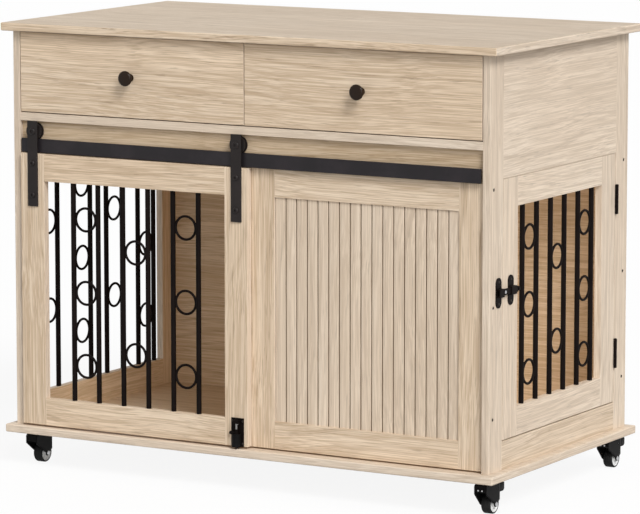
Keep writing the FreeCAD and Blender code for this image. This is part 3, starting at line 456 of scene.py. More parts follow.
def gridFaces(rows, columns, closed):
    # quads between neighbouring rows and columns, the last column joined to the first if closed
    index = np.arange(rows * columns).reshape(rows, columns)
    if closed:
        index = np.concatenate([index, index[:, :1]], axis=1)
    return np.stack([index[:-1, :-1], index[:-1, 1:], index[1:, 1:], index[1:, :-1]], -1).reshape(-1, 4)


def axisFrame(axis):
    # a unit axis and two directions square to it
    along = np.array(axis, float)
    side = np.cross(along, (0.0, 0.0, 1.0) if abs(along[2]) < 0.9 else (1.0, 0.0, 0.0))
    side /= np.linalg.norm(side)
    return along, side, np.cross(along, side)


def turned(profile, origin, axis, segments=40, lobes=5):
    # lathe: row (a, r, h, w) is a ring at a + w cos(lobes t) along the axis, of radius r, and h of the way
    # from a circle to a hexagon of that circumradius
    rows = np.array([tuple(row) + (0.0,) * (4 - len(row)) for row in profile])
    angle = np.linspace(0.0, 2 * math.pi, segments, endpoint=False)
    hexagon = math.cos(math.pi / 6) / np.cos((angle + math.pi / 6) % (math.pi / 3) - math.pi / 6)
    height = rows[:, :1] + rows[:, 3:] * np.cos(lobes * angle)
    radius = rows[:, 1:2] * (1.0 + rows[:, 2:3] * (hexagon - 1.0))
    along, side, up = axisFrame(axis)
    ring = np.cos(angle)[:, None] * side + np.sin(angle)[:, None] * up
    points = np.array(origin) + height[..., None] * along + radius[..., None] * ring
    return points.reshape(-1, 3), gridFaces(len(rows), segments, True)


def softened(outline, reach, steps=5):
    # each corner of a closed outline becomes a quadratic curve that starts and ends a reach away from it
    corner = np.array(outline, float)
    before = np.roll(corner, 1, axis=0) - corner
    after = np.roll(corner, -1, axis=0) - corner
    start = corner + before * (reach / np.linalg.norm(before, axis=1))[:, None]
    end = corner + after * (reach / np.linalg.norm(after, axis=1))[:, None]
    t = np.linspace(0.0, 1.0, steps)[None, :, None]
    curve = (1 - t) ** 2 * start[:, None] + 2 * t * (1 - t) * corner[:, None] + t ** 2 * end[:, None]
    return curve.reshape(-1, 2)


def slab(outline, origin, across, up, along, length, ease):
    # closed outline carried along a direction, drawn in by a quarter circle at both ends, then capped
    outline = np.array(outline)
    edge = np.roll(outline, -1, axis=0) - np.roll(outline, 1, axis=0)
    inward = np.stack([-edge[:, 1], edge[:, 0]], 1) / np.linalg.norm(edge, axis=1)[:, None]
    if np.sum(outline[:, 0] * np.roll(outline[:, 1], -1) - np.roll(outline[:, 0], -1) * outline[:, 1]) < 0:
        inward = -inward
    turn = np.linspace(0.0, math.pi / 2, 4)
    inset = ease * np.concatenate([1 - np.sin(turn), 1 - np.cos(turn)])
    reach = np.concatenate([ease * (1 - np.cos(turn)), length - ease * (1 - np.sin(turn))])
    rings = outline[None] + inset[:, None, None] * inward[None]
    middle = np.broadcast_to(outline.mean(0), (1,) + outline.shape)
    rings = np.concatenate([middle, rings, middle])
    reach = np.concatenate([reach[:1], reach, reach[-1:]])
    across, up, along = (np.array(direction, float) for direction in (across, up, along))
    points = (np.array(origin) + rings[..., :1] * across + rings[..., 1:] * up
              + reach[:, None, None] * along)
    return points.reshape(-1, 3), gridFaces(len(rings), len(outline), True)


def makePiece(name, shapes, material, body, replaced=(), crease=38.0):
    # several surfaces as one piece: doubles merged, faces outward, smooth but for its sharp edges
    starts = np.cumsum([0] + [len(points) for points, faces in shapes[:-1]])
    mesh = bpy.data.meshes.new(name)
    corners = np.concatenate([points for points, faces in shapes])
    quads = np.concatenate([faces + start for (points, faces), start in zip(shapes, starts)])
    mesh.from_pydata(corners.tolist(), [], quads.tolist())
    work = bmesh.new()
    work.from_mesh(mesh)
    bmesh.ops.remove_doubles(work, verts=work.verts, dist=1e-6)
    bmesh.ops.recalc_face_normals(work, faces=work.faces)
    work.to_mesh(mesh)
    work.free()
    mesh.shade_smooth()
    mesh.set_sharp_from_angle(angle=math.radians(crease))
    mesh.materials.append(coatMaterials[material] if isinstance(material, str) else material)
    piece = bpy.data.objects.new(name, mesh)
    bpy.context.scene.collection.objects.link(piece)
    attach(piece, body)
    if replaced:
        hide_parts(*replaced)
    return piece


def centreOf(node):
    low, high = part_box(node)
    return (low + high) / 2


# shares of a button head's height and radius: the socket's floor, and the dome from its crown down
button = {"floor": 0.35, "dome": ((1.0, 0.62), (0.86, 0.80), (0.60, 0.93), (0.25, 1.0), (0.0, 1.0))}


def socketHead(seat, axis, radius, height, socket, shank, length):
    # button head that stands on its seat against the axis, with a hexagon socket and a plain shank
    deep = -button["floor"] * height
    profile = [(deep, 0.0), (deep, socket, 1.0), (-height, socket, 1.0)]
    profile += [(-tall * height, wide * radius) for tall, wide in button["dome"]]
    profile += [(0.0, shank), (length, shank), (length, 0.0)]
    return turned(profile, seat, axis, 36)


def rivetShape(seat, axis, radius, rise, shank):
    # low dome that stands on its seat along the axis, on a plain shank that goes the other way
    dome = np.linspace(0.0, math.pi / 2, 7)
    profile = [(-shank, 0.0), (-shank, radius), (0.0, radius)]
    profile += [(rise * math.sin(turn), radius * math.cos(turn)) for turn in dome[1:]]
    return turned(profile, seat, axis, 32)


# Drawer knobs: turned heads on flared necks, with the screw that holds them from inside the drawer

knob = {"radius": 0.015, "reach": 0.024, "head": 0.009, "neck": 0.0054, "foot": 0.0078, "crown": 0.0012,
        "crownEdge": (0.3, 0.45), "tenon": 0.002, "footEdge": 0.0012, "footEnd": 0.0030, "footTaper": 0.86,
        "neckStart": 0.0070, "neckEnd": 0.0022,
        "throat": 0.0006, "throatRadius": 0.0072, "screwRadius": 0.002, "screwHead": 0.004,
        "screwHeadHeight": 0.0025, "screwHex": 0.0018, "screwLength": 0.026}


def makeKnobs():
    # lathe profile from the tenon in the drawer front: foot, neck, throat, round rim and a low crown
    for side in ("left", "right"):
        low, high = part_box(side + "_drawer_knob")
        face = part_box(side + "_drawer_front")[0].y
        centre = (low + high) / 2
        radius, reach, head = knob["radius"], knob["reach"], knob["head"]
        rim = np.linspace(0.0, math.pi, 9)
        half = head / 2 - knob["crown"] / 2
        middle = reach - knob["crown"] - half
        edge = [(middle - half * math.cos(turn), radius - half + half * math.sin(turn)) for turn in rim]
        back, tenon, foot, neck = reach - head, knob["screwRadius"], knob["foot"], knob["neck"]
        profile = [(-knob["tenon"], 0.0), (-knob["tenon"], tenon), (0.0, tenon), (0.0, foot),
                   (knob["footEdge"], foot), (knob["footEnd"], knob["footTaper"] * foot),
                   (knob["neckStart"], neck), (back - knob["neckEnd"], neck),
                   (back - knob["throat"], knob["throatRadius"])]
        drop, share = knob["crownEdge"]
        profile += edge + [(reach - drop * knob["crown"], share * radius), (reach, 0.0)]
        shapes = [turned(profile, (centre.x, face, centre.z), (0, -1, 0), 56)]
        seat = (centre.x, high.y - knob["screwHeadHeight"], centre.z)
        shapes.append(socketHead(seat, (0, -1, 0), knob["screwHead"], knob["screwHeadHeight"],
                                 knob["screwHex"], knob["screwRadius"], knob["screwLength"]))
        makePiece(side + "KnobTurned", shapes, "bronzeBlack", side + "_drawer",
                  [side + "_drawer_knob"])


# Hanger bolts: button heads with hexagon sockets on the straps, and the roller axles

hanger = {"strapWidth": 0.023, "drops": (0.019, 0.082), "head": 0.006, "headHeight": 0.003, "hex": 0.0030,
          "shank": 0.003, "length": 0.015, "axleHead": 0.007, "axleHeadHeight": 0.0025, "axleHex": 0.0036,
          "axle": 0.004, "collar": 0.0065, "clip": 0.0065, "gap": 0.0003, "ease": 0.0003}


def makeHangerBolts():
    # on each strap two bolt heads and an axle, with eased rings as collar and clip beside the roller
    low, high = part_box("hanger_straps")
    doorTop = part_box("barn_door_stiles")[1].z
    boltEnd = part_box("hanger_bolts")[1].y
    half = hanger["strapWidth"] / 2
    shapes = []
    for side, x in (("left", low.x + half), ("right", high.x - half)):
        for drop in hanger["drops"]:
            shapes.append(socketHead((x, low.y, doorTop - drop), (0, 1, 0), hanger["head"],
                                     hanger["headHeight"], hanger["hex"], hanger["shank"], hanger["length"]))
        rollerLow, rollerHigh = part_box(side + "_roller")
        seat = (x, low.y, (rollerLow.z + rollerHigh.z) / 2)
        shapes.append(socketHead(seat, (0, 1, 0), hanger["axleHead"], hanger["axleHeadHeight"],
                                 hanger["axleHex"], hanger["axle"], boltEnd - low.y))
        collarStart = high.y - low.y
        collarEnd = rollerLow.y - hanger["gap"] - low.y
        clipStart = rollerHigh.y + hanger["gap"] - low.y
        for start, end, radius in ((collarStart, collarEnd, hanger["collar"]),
                                   (clipStart, boltEnd - low.y, hanger["clip"])):
            ease, bore = hanger["ease"], hanger["axle"]
            ring = [(start, bore), (start, radius - ease), (start + ease, radius), (end - ease, radius),
                    (end, radius - ease), (end, bore), (start, bore)]
            shapes.append(turned(ring, seat, (0, 1, 0), 36))
    makePiece("hangerBoltHeads", shapes, "blackMetal", "barn_door",
              ["hanger_bolts"])


# Carcass screws with hexagon sockets, and the small screws of the caster plates

screws = {"heights": (0.102, 0.313, 0.534), "head": 0.0035, "headHeight": 0.002, "hex": 0.0020,
          "shank": 0.002, "length": 0.040, "casterInset": 0.0045, "casterHead": 0.003,
          "casterHeadHeight": 0.0018, "casterHex": 0.0015, "casterShank": 0.00175, "casterLength": 0.012,
          "plate": 0.038, "plateThickness": 0.0025}
casterNames = ("front_left", "front_right", "rear_left", "rear_right")


def makeFixingScrews():
    # three up the right front post and both rear ones, one at the header's left end, four a caster plate
    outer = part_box("front_posts")[1].x
    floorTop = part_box("base_board")[1].z
    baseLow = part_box("base_board")[0].z
    panelY = centreOf("fixed_panel_stiles").y
    backY = centreOf("back_panel").y
    headerZ = (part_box("door_track")[1].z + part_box("drawer_shelf")[0].z) / 2
    places = [(1, panelY, floorTop + rise) for rise in screws["heights"]]
    places += [(side, backY, floorTop + rise) for side in (-1, 1) for rise in screws["heights"]]
    places.append((-1, panelY, headerZ))
    shapes = [socketHead((side * (outer - screws["headHeight"]), y, z), (-side, 0, 0), screws["head"],
                         screws["headHeight"], screws["hex"], screws["shank"], screws["length"])
              for side, y, z in places]
    reach = screws["plate"] / 2 - screws["casterInset"]
    for name in casterNames:
        middle = kingpin(name)
        for dx in (-reach, reach):
            for dy in (-reach, reach):
                seat = (middle[0] + dx, middle[1] + dy, baseLow - screws["plateThickness"])
                shapes.append(socketHead(seat, (0, 0, 1), screws["casterHead"], screws["casterHeadHeight"],
                                         screws["casterHex"], screws["casterShank"],
                                         screws["casterLength"]))
    makePiece("fixingScrewHeads", shapes, "darkScrew", "carcass",
              ["fixing_screws"])


# Casters: pressed hoods with their axles, tyres, hubs and brake pedals

hood = {"frontReach": 0.025, "backReach": 0.030, "halfWidth": 0.0132, "wall": 0.002, "corner": 0.003,
        "brow": 0.0025, "frontDrop": 0.015, "shoulderDrop": 0.019, "skirtDrop": 0.036, "legEnd": 0.0055,
        "cheekDrop": 0.020, "cheekSetback": 0.001, "cheekHeight": 0.017, "axle": 0.0025, "nut": 0.0045,
        "nutHeight": 0.0015, "nutTip": 0.8, "nutEdge": 0.7,
        "pin": 0.0015, "pinTip": 0.8, "pinEase": 0.0002, "pinDrop": 0.014, "pinSetback": 0.020,
        "rivet": 0.0018, "rivetRise": 0.0011, "rivetSpread": 0.0041, "rivetDrop": 0.012}
wheel = {"groove": 0.0006, "grooveWidth": 0.0012, "grooveSpread": 0.0042, "shoulder": 0.0030,
         "hubInset": 0.001, "hubRadius": 0.016, "rim": 0.0024, "rimEase": 0.0006, "dish": 0.0020,
         "dishEase": 0.0008, "lobe": 0.0005, "boss": 0.0055, "bossFoot": 0.0010, "bossStart": 0.0012,
         "bossRise": 0.0019, "bossEase": 0.0004, "bore": 0.00255}
pedal = {"heel": 0.015, "heelHalf": 0.003, "start": 0.0285, "toe": 0.054, "crownDrop": 0.0065,
         "depth": 0.017, "chamfer": 0.004, "soft": 0.0015, "ease": 0.0014, "ribs": 4, "ribHeight": 0.0006,
         "ribFoot": 1.2, "ribCrest": 0.6, "ribSoft": 0.3, "ribEase": 0.5,  # in heights of a rib
         "ribWidth": 0.8}  # in widths of the pedal


def kingpin(name):
    # the upright that a caster swivels on: its place in plan and the hood's top
    low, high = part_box(name + "_caster_fork")
    return (low.x + high.x) / 2, low.y + hood["frontReach"], high.z


def hoodShapes(x, y, top, axleZ, axleBack, braked):
    # pressed sheet: an upside-down U with round shoulders, carried from the brow to the back, whose two lower
    # edges follow the legs; a front wall closes it under the brow
    half = hood["halfWidth"] - hood["wall"] / 2
    crown = top - hood["wall"] / 2
    front = hood["wall"] / 2 - hood["frontReach"]
    brow, corner, end = hood["brow"], hood["corner"], hood["legEnd"]
    bow = np.linspace(0.0, math.pi / 2, 8)
    foot = np.linspace(0.0, math.pi, 13)
    along = np.concatenate([front + brow * (1 - np.cos(bow)),
                            np.linspace(front + brow, axleBack - end, 10)[1:],
                            axleBack - end * np.cos(foot)[1:],
                            np.linspace(axleBack + end, hood["backReach"], 4)[1:]])
    rise = np.clip((brow - (along - front)) / brow, 0.0, 1.0)
    ridge = crown - brow + brow * np.sqrt(1 - rise ** 2)
    arch = axleZ - np.sqrt(np.clip(end ** 2 - (along - axleBack) ** 2, 0.0, None))
    plain = np.interp(along, [front, axleBack - end, axleBack + end, hood["backReach"]],
                      [top - hood["shoulderDrop"], axleZ, axleZ, top - hood["skirtDrop"]])
    plain = np.where(np.abs(along - axleBack) < end, arch, plain)
    cheek = np.interp(along, [front, hood["cheekSetback"], axleBack],
                      [top - hood["cheekDrop"], hood["cheekHeight"], axleZ - end])
    left = np.where(along < axleBack, np.minimum(cheek, plain), plain) if braked else plain
    share = np.linspace(0.0, 1.0, 7)[:, None]
    turn = np.linspace(0.0, math.pi / 2, 6)[:, None]
    leftZ = left + (ridge - corner - left) * share
    rightZ = plain + (ridge - corner - plain) * share[::-1]
    wide = np.ones_like(along)
    flank = half * wide * np.ones_like(share)
    acrossRows = np.concatenate([-flank, (-half + corner * (1 - np.cos(turn))) * wide,
                                 (half - corner * (1 - np.cos(turn[::-1]))) * wide, flank])
    heightRows = np.concatenate([leftZ, ridge - corner + corner * np.sin(turn),
                                 ridge - corner + corner * np.sin(turn[::-1]), rightZ])
    sheet = np.stack([x + acrossRows, y + np.broadcast_to(along, acrossRows.shape), heightRows], -1)
    low = top - hood["frontDrop"]
    drop = np.linspace(0.0, 1.0, 5)[None, :]
    edgeX, edgeZ = acrossRows[:, :1], np.maximum(heightRows[:, :1], low)
    wallZ = edgeZ + (low - edgeZ) * drop
    wall = np.stack([x + np.broadcast_to(edgeX, wallZ.shape), np.full(wallZ.shape, y + front), wallZ], -1)
    return [(sheet.reshape(-1, 3), gridFaces(*acrossRows.shape, False)),
            (wall.reshape(-1, 3), gridFaces(*wallZ.shape, False))]


def axleShape(x, y, z):
    # axle with a chamfered hexagon nut at each end
    reach = hood["halfWidth"]
    nut, tall = hood["nut"], hood["nutHeight"]
    tip, edge = hood["nutTip"] * nut, hood["nutEdge"] * tall
    profile = [(-reach - tall, 0.0), (-reach - tall, tip), (-reach - edge, nut, 1.0), (-reach, nut, 1.0),
               (-reach, hood["axle"]), (reach, hood["axle"]), (reach, nut, 1.0), (reach + edge, nut, 1.0),
               (reach + tall, tip), (reach + tall, 0.0)]
    return turned(profile, (x, y, z), (1, 0, 0), 36)


def pinShape(x, y, top):
    # cross pin that the brake pedal turns on
    reach, radius, ease = hood["halfWidth"], hood["pin"], hood["pinEase"]
    tip = hood["pinTip"] * radius
    profile = [(-reach, 0.0), (-reach, tip), (ease - reach, radius), (reach - ease, radius), (reach, tip),
               (reach, 0.0)]
    return turned(profile, (x, y + hood["pinSetback"], top - hood["pinDrop"]), (1, 0, 0), 20)


def wheelShapes(centre, radius, half):
    # tyre: round-shouldered band with two tread grooves; hub: rimmed disc whose web swells into five lobes
    ring = wheel["hubRadius"]
    bend = np.linspace(0.0, math.pi / 2, 6)
    curve = wheel["shoulder"]
    left = [(-half + curve * (1 - math.cos(t)), radius - curve + curve * math.sin(t)) for t in bend]
    cut, wide, spread = wheel["groove"], wheel["grooveWidth"], wheel["grooveSpread"]
    tread = [(side * spread + step, radius - deep) for side in (-1, 1)
             for step, deep in ((-wide, 0.0), (-wide / 2, cut), (wide / 2, cut), (wide, 0.0))]
    right = [(-a, r) for a, r in left[::-1]]
    tyre = [(-half, ring)] + left + tread + right + [(half, ring), (-half, ring)]
    face = half - wheel["hubInset"]
    bossEnd = face + wheel["bossRise"]
    rim, boss, bore = ring - wheel["rim"], wheel["boss"], wheel["bore"]
    middle = (rim + boss) / 2
    web = face - wheel["dish"]
    rimEase, bossEase = wheel["rimEase"], wheel["bossEase"]
    outer = [(face, ring), (face, rim + rimEase), (face - rimEase, rim), (web, rim - wheel["dishEase"]),
             (web, middle, 0.0, wheel["lobe"]), (web, boss + wheel["bossFoot"]),
             (web + wheel["bossStart"], boss), (bossEnd - bossEase, boss), (bossEnd, boss - bossEase),
             (bossEnd, bore)]
    inner = [(-row[0],) + row[1:3] + (-row[3],) if len(row) == 4 else (-row[0],) + row[1:]
             for row in outer[::-1]]
    return turned(tyre, centre, (1, 0, 0), 64), turned(outer + inner + outer[:1], centre, (1, 0, 0), 60)


def pedalShapes(x, y, top, width):
    # foot plate with soft corners on a tapered heel, and low ribs across its crown for grip
    pin = top - hood["pinDrop"]
    high = top - pedal["crownDrop"] - pedal["ribHeight"]
    low = top - pedal["crownDrop"] - pedal["depth"]
    outline = [(pedal["heel"], pin - pedal["heelHalf"]), (pedal["start"], low),
               (pedal["toe"] - pedal["chamfer"], low), (pedal["toe"], low + pedal["chamfer"]),
               (pedal["toe"], high), (pedal["start"], high), (pedal["heel"], pin + pedal["heelHalf"])]
    across, up, along = (0, 1, 0), (0, 0, 1), (1, 0, 0)
    shapes = [slab(softened(outline, pedal["soft"]), (x - width / 2, y, 0.0), across, up, along, width,
                   pedal["ease"])]
    pitch = (pedal["toe"] - pedal["start"]) / (pedal["ribs"] + 1)
    tall = pedal["ribHeight"]
    for number in range(1, pedal["ribs"] + 1):
        middle = pedal["start"] + number * pitch
        foot, crest, wide = pedal["ribFoot"] * tall, pedal["ribCrest"] * tall, pedal["ribWidth"] * width
        rib = [(middle - foot, high - tall), (middle + foot, high - tall),
               (middle + crest, high + tall), (middle - crest, high + tall)]
        shapes.append(slab(softened(rib, pedal["ribSoft"] * tall), (x - wide / 2, y, 0.0), across, up, along,
                           wide, pedal["ribEase"] * tall))
    return shapes


def makeCasters():
    # hood and axle turn with the swivel, tread and disc with the wheel, the foot plate with the pedal
    for name in casterNames:
        x, y, top = kingpin(name)
        tyreLow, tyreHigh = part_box(name + "_caster_tyre")
        centre = (tyreLow + tyreHigh) / 2
        braked = name + "_brake_pedal" in nodes
        shapes = hoodShapes(x, y, top, centre.z, centre.y - y, braked)
        body, turning = name + "_caster", name + "_wheel"
        fork, rubber, disc = (body + ending for ending in ("_fork", "_tyre", "_hub"))
        pressed = makePiece(name + "_hood", shapes, "casterBlack", body, [fork])
        wall = pressed.modifiers.new("wall", "SOLIDIFY")
        wall.thickness = hood["wall"]
        wall.offset = 0.0
        pins = [axleShape(x, centre.y, centre.z)] + ([pinShape(x, y, top)] if braked else [])
        makePiece(name + "_axle", pins, "zincSteel", body)
        tyre, hub = wheelShapes(centre, centre.z - tyreLow.z, (tyreHigh.x - tyreLow.x) / 2)
        makePiece(name + "_tread", [tyre], "blackRubber", turning, [rubber])
        makePiece(name + "_hubDisc", [hub], "greyPlastic", turning, [disc])
        if braked:
            front, height = y - hood["frontReach"], top - hood["rivetDrop"]
            rivets = [rivetShape((x + side * hood["rivetSpread"], front, height), (0, -1, 0), hood["rivet"],
                                 hood["rivetRise"], hood["wall"]) for side in (-1, 1)]
            makePiece(name + "_rivets", rivets, "zincSteel", body)
            low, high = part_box(name + "_brake_pedal")
            makePiece(name + "_footPlate", pedalShapes(x, y, top, high.x - low.x), "casterBlack",
                      name + "_pedal", [name + "_brake_pedal"])


# Small screws that hold the drop bolt's plate and the latch

plateScrews = {"head": 0.0022, "headHeight": 0.0011, "hex": 0.0012, "shank": 0.0010, "length": 0.006,
               "dropInset": (0.0026, 0.0062), "dropPlate": 0.0015, "latchRise": 0.0205, "latchPlate": 0.002,
               "latchHalf": 0.0105}


def smallScrew(seat, axis):
    # one button head of the plates' size
    return socketHead(seat, axis, plateScrews["head"], plateScrews["headHeight"], plateScrews["hex"],
                      plateScrews["shank"], plateScrews["length"])


def makePlateScrews():
    # four at the corners of the drop bolt's plate, two each on the keeper and the latch
    low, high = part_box("barn_bolt_plate")
    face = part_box("barn_door_stiles")[0].y - plateScrews["dropPlate"]
    dx, dz = plateScrews["dropInset"]
    shapes = [smallScrew((x, face, z), (0, 1, 0)) for x in (low.x + dx, high.x - dx)
              for z in (low.z + dz, high.z - dz)]
    makePiece("dropPlateScrews", shapes, "darkScrew", "barn_door")
    for node, body, name in (("latch_keeper", "carcass", "keeperScrews"),
                             ("side_latch_plate", "side_door", "latchScrews")):
        low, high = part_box(node)
        y = low.y + plateScrews["latchHalf"]
        z = (low.z + high.z) / 2
        shapes = [smallScrew((low.x + plateScrews["latchPlate"], y, z + rise), (-1, 0, 0))
                  for rise in (-plateScrews["latchRise"], plateScrews["latchRise"])]
        makePiece(name, shapes, "darkScrew", body)


# Drop bolt: turned rod with its handle, a cover round the lower guide, and bright metal under the upper one
# as a painted highlight

dropBolt = {"rod": 0.003, "ease": 0.0008, "rise": 0.027, "handle": 0.0022, "reach": 0.0155, "knob": 0.0034,
            "knobLength": 0.006, "knobTip": 0.7, "cover": 0.0086, "coverWall": 0.0008, "coverHeight": 0.0255,
            "coverTurn": 150.0, "coverEase": 0.0003, "guideRise": 0.044, "guideFront": 0.0046,
            "sleeve": 0.0031, "sleeveWall": 0.0004, "sleeveLength": 0.0094, "sleeveTurn": (36.0, 99.0),
            "sleeveEase": 0.0001, "lipEnd": 0.0064, "lipHeight": 0.0016, "lipDepth": 0.0004,
            "lipSoft": 0.0005, "lipSink": 0.0001, "lipEase": 0.0002}


def uprightWall(path, thickness, low, high, ease):
    # soft-cornered rectangle of that thickness and height carried along a path in plan, closed at both ends
    way = np.gradient(path, axis=0)
    way /= np.linalg.norm(way, axis=1)[:, None]
    side = np.stack([way[:, 1], -way[:, 0]], 1)
    half = thickness / 2
    section = softened([(-half, low), (half, low), (half, high), (-half, high)], ease)
    plan = path[:, None] + section[None, :, :1] * side[:, None]
    height = np.broadcast_to(section[None, :, 1:], plan.shape[:2] + (1,))
    walls = np.concatenate([plan, height], 2)
    ends = [np.broadcast_to(np.append(path[row], (low + high) / 2), walls[:1].shape) for row in (0, -1)]
    rows = np.concatenate([ends[0], walls, ends[1]])
    return rows.reshape(-1, 3), gridFaces(len(rows), len(section), True)


def makeDropBolt():
    # rod and handle are lathe profiles, the rest walls carried along an arc round the rod
    low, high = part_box("barn_bolt")
    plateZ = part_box("barn_bolt_plate")[0].z
    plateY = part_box("barn_door_stiles")[0].y - plateScrews["dropPlate"]
    rod, ease = dropBolt["rod"], dropBolt["ease"]
    x, y = high.x - rod, (low.y + high.y) / 2
    length = high.z - low.z
    shank = [(0.0, 0.0), (0.0, rod - ease), (ease, rod), (length - ease, rod), (length, rod - ease),
             (length, 0.0)]
    reach, bar, ball = dropBolt["reach"], dropBolt["handle"], dropBolt["knob"]
    start = reach - dropBolt["knobLength"]
    grip = [(0.0, 0.0), (0.0, bar), (start - ease, bar), (start, ball - ease / 2), (start + ease, ball),
            (reach - ease, ball), (reach, dropBolt["knobTip"] * ball), (reach, 0.0)]
    shapes = [turned(shank, (x, y, low.z), (0, 0, 1)),
              turned(grip, (x, y, plateZ + dropBolt["rise"]), (-1, 0, 0))]
    makePiece("dropBoltTurned", shapes, "barBlack", "drop_bolt", ["barn_bolt"])

    # the cover leaves the plate on the right, goes round the front and stops short of the handle
    radius = dropBolt["cover"]
    turn = np.linspace(0.0, math.radians(dropBolt["coverTurn"]), 30)
    bend = np.stack([x + radius * np.cos(turn), y - radius * np.sin(turn)], 1)
    leg = np.stack([np.full(4, x + radius), np.linspace(plateY, y, 5)[:-1]], 1)
    cover = uprightWall(np.concatenate([leg, bend]), dropBolt["coverWall"], plateZ,
                        plateZ + dropBolt["coverHeight"], dropBolt["coverEase"])
    makePiece("boltCover", [cover], "casterBlack", "barn_door")

    # painted highlight: a strip of bright metal on the rod's front below the upper guide, and one on that
    # guide's lower edge
    edge = plateZ + dropBolt["guideRise"]
    turn = np.linspace(*np.radians(dropBolt["sleeveTurn"]), 12)
    rubAndGlint = np.stack([x + dropBolt["sleeve"] * np.cos(turn), y - dropBolt["sleeve"] * np.sin(turn)], 1)
    strip = uprightWall(rubAndGlint, dropBolt["sleeveWall"], edge - dropBolt["sleeveLength"], edge,
                        dropBolt["sleeveEase"])
    makePiece("boltGlintStrip", [strip], "glintSteel", "drop_bolt")
    right, rim, sink = x + dropBolt["lipEnd"], edge + dropBolt["lipHeight"], dropBolt["lipSink"]
    outline = softened([(x, edge), (right, edge), (right, rim), (x, rim)], dropBolt["lipSoft"])
    lipFront = slab(outline, (0.0, y - dropBolt["guideFront"] + sink, 0.0), (1, 0, 0), (0, 0, 1), (0, -1, 0),
                    dropBolt["lipDepth"] + sink, dropBolt["lipEase"])
    makePiece("boltGuideEdge", [lipFront], "glintSteel", "barn_door")


# Oak strips: edge tape under the side's upper panel, which narrows the gap above the side door, and a lip
# under the header, behind the sliding door, which closes the sight line over that door

tape = {"thickness": 0.0014, "setback": 0.0003, "sink": 0.0001, "soft": 0.0003, "ease": 0.0002,
        "grainShift": 57.3}
lip = {"drop": 0.011, "front": 0.0022, "thickness": 0.010, "sink": 0.0002, "soft": 0.0008, "ease": 0.0006,
       "grainShift": 61.9}


def makeStrip(name, settings, low, high, grain, washAndPaintedLight):
    # soft-cornered rectangle that fills a box between two corners, carried along its grain, x or y
    along = "xy".index(grain)
    across = 1 - along
    axes = np.eye(3)
    outline = softened([(low[across], low[2]), (high[across], low[2]), (high[across], high[2]),
                        (low[across], high[2])], settings["soft"])
    shape = slab(outline, axes[along] * low[along], axes[across], axes[2], axes[along],
                 high[along] - low[along], settings["ease"])
    wood = oakMaterial("oak_" + name, grain, "z", settings["grainShift"], washAndPaintedLight)
    makePiece(name, [shape], wood, "carcass")


def makeEdgeTape():
    # from the front of the side door to its back
    low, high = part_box("side_door_stiles")
    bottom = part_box("side_upper_panels")[0].z
    # the tape wears the painted light of the sides
    makeStrip("doorHeadTape", tape, (low.x + tape["setback"], low.y, bottom - tape["thickness"]),
              (high.x - tape["setback"], high.y, bottom + tape["sink"]), "y", "side")


def makeHeaderLip():
    # from the header's left end to the fixed panel
    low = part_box("header_board")[0]
    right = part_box("fixed_panel_stiles")[0].x
    near = low.y + lip["front"]
    # the lip wears the painted shade of the crate's inside
    makeStrip("headerLip", lip, (low.x, near, low.z - lip["drop"]),
              (right, near + lip["thickness"], low.z + lip["sink"]), "x", "inner")


# Bright rivet in the lock hole of the latch bolt

rivet = {"radius": 0.0032, "rise": 0.0002, "setback": 0.008, "shank": 0.0030, "tongueDrop": 0.0023}


def makeLatchRivet():
    low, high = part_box("side_latch_bolt")
    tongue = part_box("side_latch_plate")[1].x - rivet["tongueDrop"]
    middle = (tongue, low.y + rivet["setback"], (low.z + high.z) / 2)
    dot = rivetShape(middle, (1, 0, 0), rivet["radius"], rivet["rise"], rivet["shank"])
    makePiece("latchRivet", [dot], "zincSteel", "latch_bolt")


makeKnobs()
makeHangerBolts()
makeFixingScrews()
makeCasters()
makePlateScrews()
makeDropBolt()
makeEdgeTape()
makeHeaderLip()
makeLatchRivet()
print("detail pieces made")


# Floor, light and camera

stage = {"floorSize": 40.0, "floorColour": (0.92, 0.92, 0.92, 1.0), "floorPale": (0.96, 0.96, 0.96, 1.0),
         "floorBounce": (0.50, 0.50, 0.50, 1.0), "floorGap": 0.0004, "roughness": 0.9,
         "cloud": {"Scale": 0.8, "Detail": 2.0}, "ownShade": 0.10}
light = {"sky": 0.38, "key": 2.4, "keyFrom": (0.614, -0.446, 0.651), "keySpread": 22.0,
         "fill": 1.03, "fillFrom": (0.629, -0.749, 0.208), "fillSpread": 50.0,
         "inside": 1.00, "insideSize": (0.44, 0.44), "insideGap": 0.02, "insideColour": (1.0, 0.90, 0.76)}
view = {"place": (3.96431, -6.84562, 1.56196), "aim": (-0.03171, 0.05032, 0.41193), "lens": 227.0947,
        "sensor": 36.0, "far": 100.0}


def cameraLight(tree):
    # one where the picture, a mirror image or a see-through ray meets the surface
    rays = addNode(tree, "ShaderNodeLightPath").outputs
    seen = mathNode(tree, "MAXIMUM", rays["Is Camera Ray"], rays["Is Glossy Ray"])
    return mathNode(tree, "MAXIMUM", seen, rays["Is Transmission Ray"])


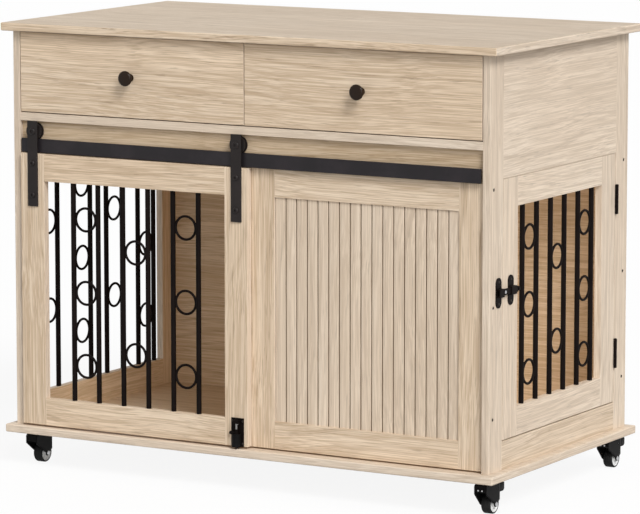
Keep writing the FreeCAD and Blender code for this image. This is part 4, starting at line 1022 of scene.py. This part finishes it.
def makeFloor():
    # one large square; to the camera it is white but for a tenth of its own shade, which keeps the shadow
    half = stage["floorSize"] / 2
    corner = np.array([-half, half])
    x, y = np.meshgrid(corner, corner)
    mesh = bpy.data.meshes.new("floor")
    level = np.full(4, cadBox[0][2] - stage["floorGap"])
    mesh.from_pydata(np.column_stack([x.ravel(), y.ravel(), level]).tolist(), [], [(0, 1, 3, 2)])
    floor = bpy.data.objects.new("floor", mesh)
    bpy.context.scene.collection.objects.link(floor)
    made, tree, shader = newMaterial("paleFloor")
    place = addNode(tree, "ShaderNodeTexCoord").outputs["Object"]
    cloud = addNode(tree, "ShaderNodeTexNoise", Vector=place, **stage["cloud"]).outputs["Fac"]
    seen = cameraLight(tree)
    pale = mixColour(tree, cloud, stage["floorColour"], stage["floorPale"])
    tree.links.new(mixColour(tree, seen, stage["floorBounce"], pale), shader.inputs["Base Color"])
    shader.inputs["Roughness"].default_value = stage["roughness"]
    shader.inputs["Specular IOR Level"].default_value = 0.0
    glow = addNode(tree, "ShaderNodeEmission", Color=(1.0, 1.0, 1.0, 1.0), Strength=1.0).outputs[0]
    share = mathNode(tree, "MULTIPLY", seen, 1.0 - stage["ownShade"])
    blend = addNode(tree, "ShaderNodeMixShader", Fac=share, i1=shader.outputs[0], i2=glow).outputs[0]
    tree.links.new(blend, tree.nodes["Material Output"].inputs["Surface"])
    mesh.materials.append(made)


def makeSun(name, strength, comesFrom, spread):
    lamp = bpy.data.lights.new(name, "SUN")
    lamp.energy = strength
    lamp.angle = math.radians(spread)
    sun = bpy.data.objects.new(name, lamp)
    sun.rotation_mode = "QUATERNION"
    sun.rotation_quaternion = Vector(comesFrom).to_track_quat("Z", "Y")
    bpy.context.scene.collection.objects.link(sun)


def makeInsideLight():
    # soft panel behind the fixed front, turned to the back of the crate
    lamp = bpy.data.lights.new("inside", "AREA")
    lamp.shape = "RECTANGLE"
    lamp.size, lamp.size_y = light["insideSize"]
    lamp.energy = light["inside"]
    lamp.color = light["insideColour"]
    low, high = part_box("fluted_panel")
    panel = bpy.data.objects.new("inside", lamp)
    panel.location = ((low.x + high.x) / 2, high.y + light["insideGap"], (low.z + high.z) / 2)
    panel.rotation_euler = (math.pi / 2, 0.0, 0.0)
    bpy.context.scene.collection.objects.link(panel)


def makeLight():
    scene = bpy.context.scene
    scene.view_settings.view_transform = "Standard"
    scene.world = bpy.data.worlds.new("studio")
    scene.world.use_nodes = True
    tree = scene.world.node_tree
    back = tree.nodes["Background"]
    back.inputs["Color"].default_value = (1.0, 1.0, 1.0, 1.0)
    gain = mathNode(tree, "MULTIPLY", cameraLight(tree), 1.0 - light["sky"])
    tree.links.new(mathNode(tree, "ADD", gain, light["sky"]), back.inputs["Strength"])
    makeSun("key", light["key"], light["keyFrom"], light["keySpread"])
    makeSun("fill", light["fill"], light["fillFrom"], light["fillSpread"])
    makeInsideLight()


def makeCamera():
    scene = bpy.context.scene
    lens = bpy.data.cameras.new("camera")
    lens.lens = view["lens"]
    lens.sensor_fit = "HORIZONTAL"
    lens.sensor_width = view["sensor"]
    lens.clip_end = view["far"]
    camera = bpy.data.objects.new("camera", lens)
    camera.location = view["place"]
    camera.rotation_mode = "QUATERNION"
    camera.rotation_quaternion = (Vector(view["place"]) - Vector(view["aim"])).to_track_quat("Z", "Y")
    scene.collection.objects.link(camera)
    scene.camera = camera


makeFloor()
makeLight()
makeCamera()
print("stage, light and camera set")
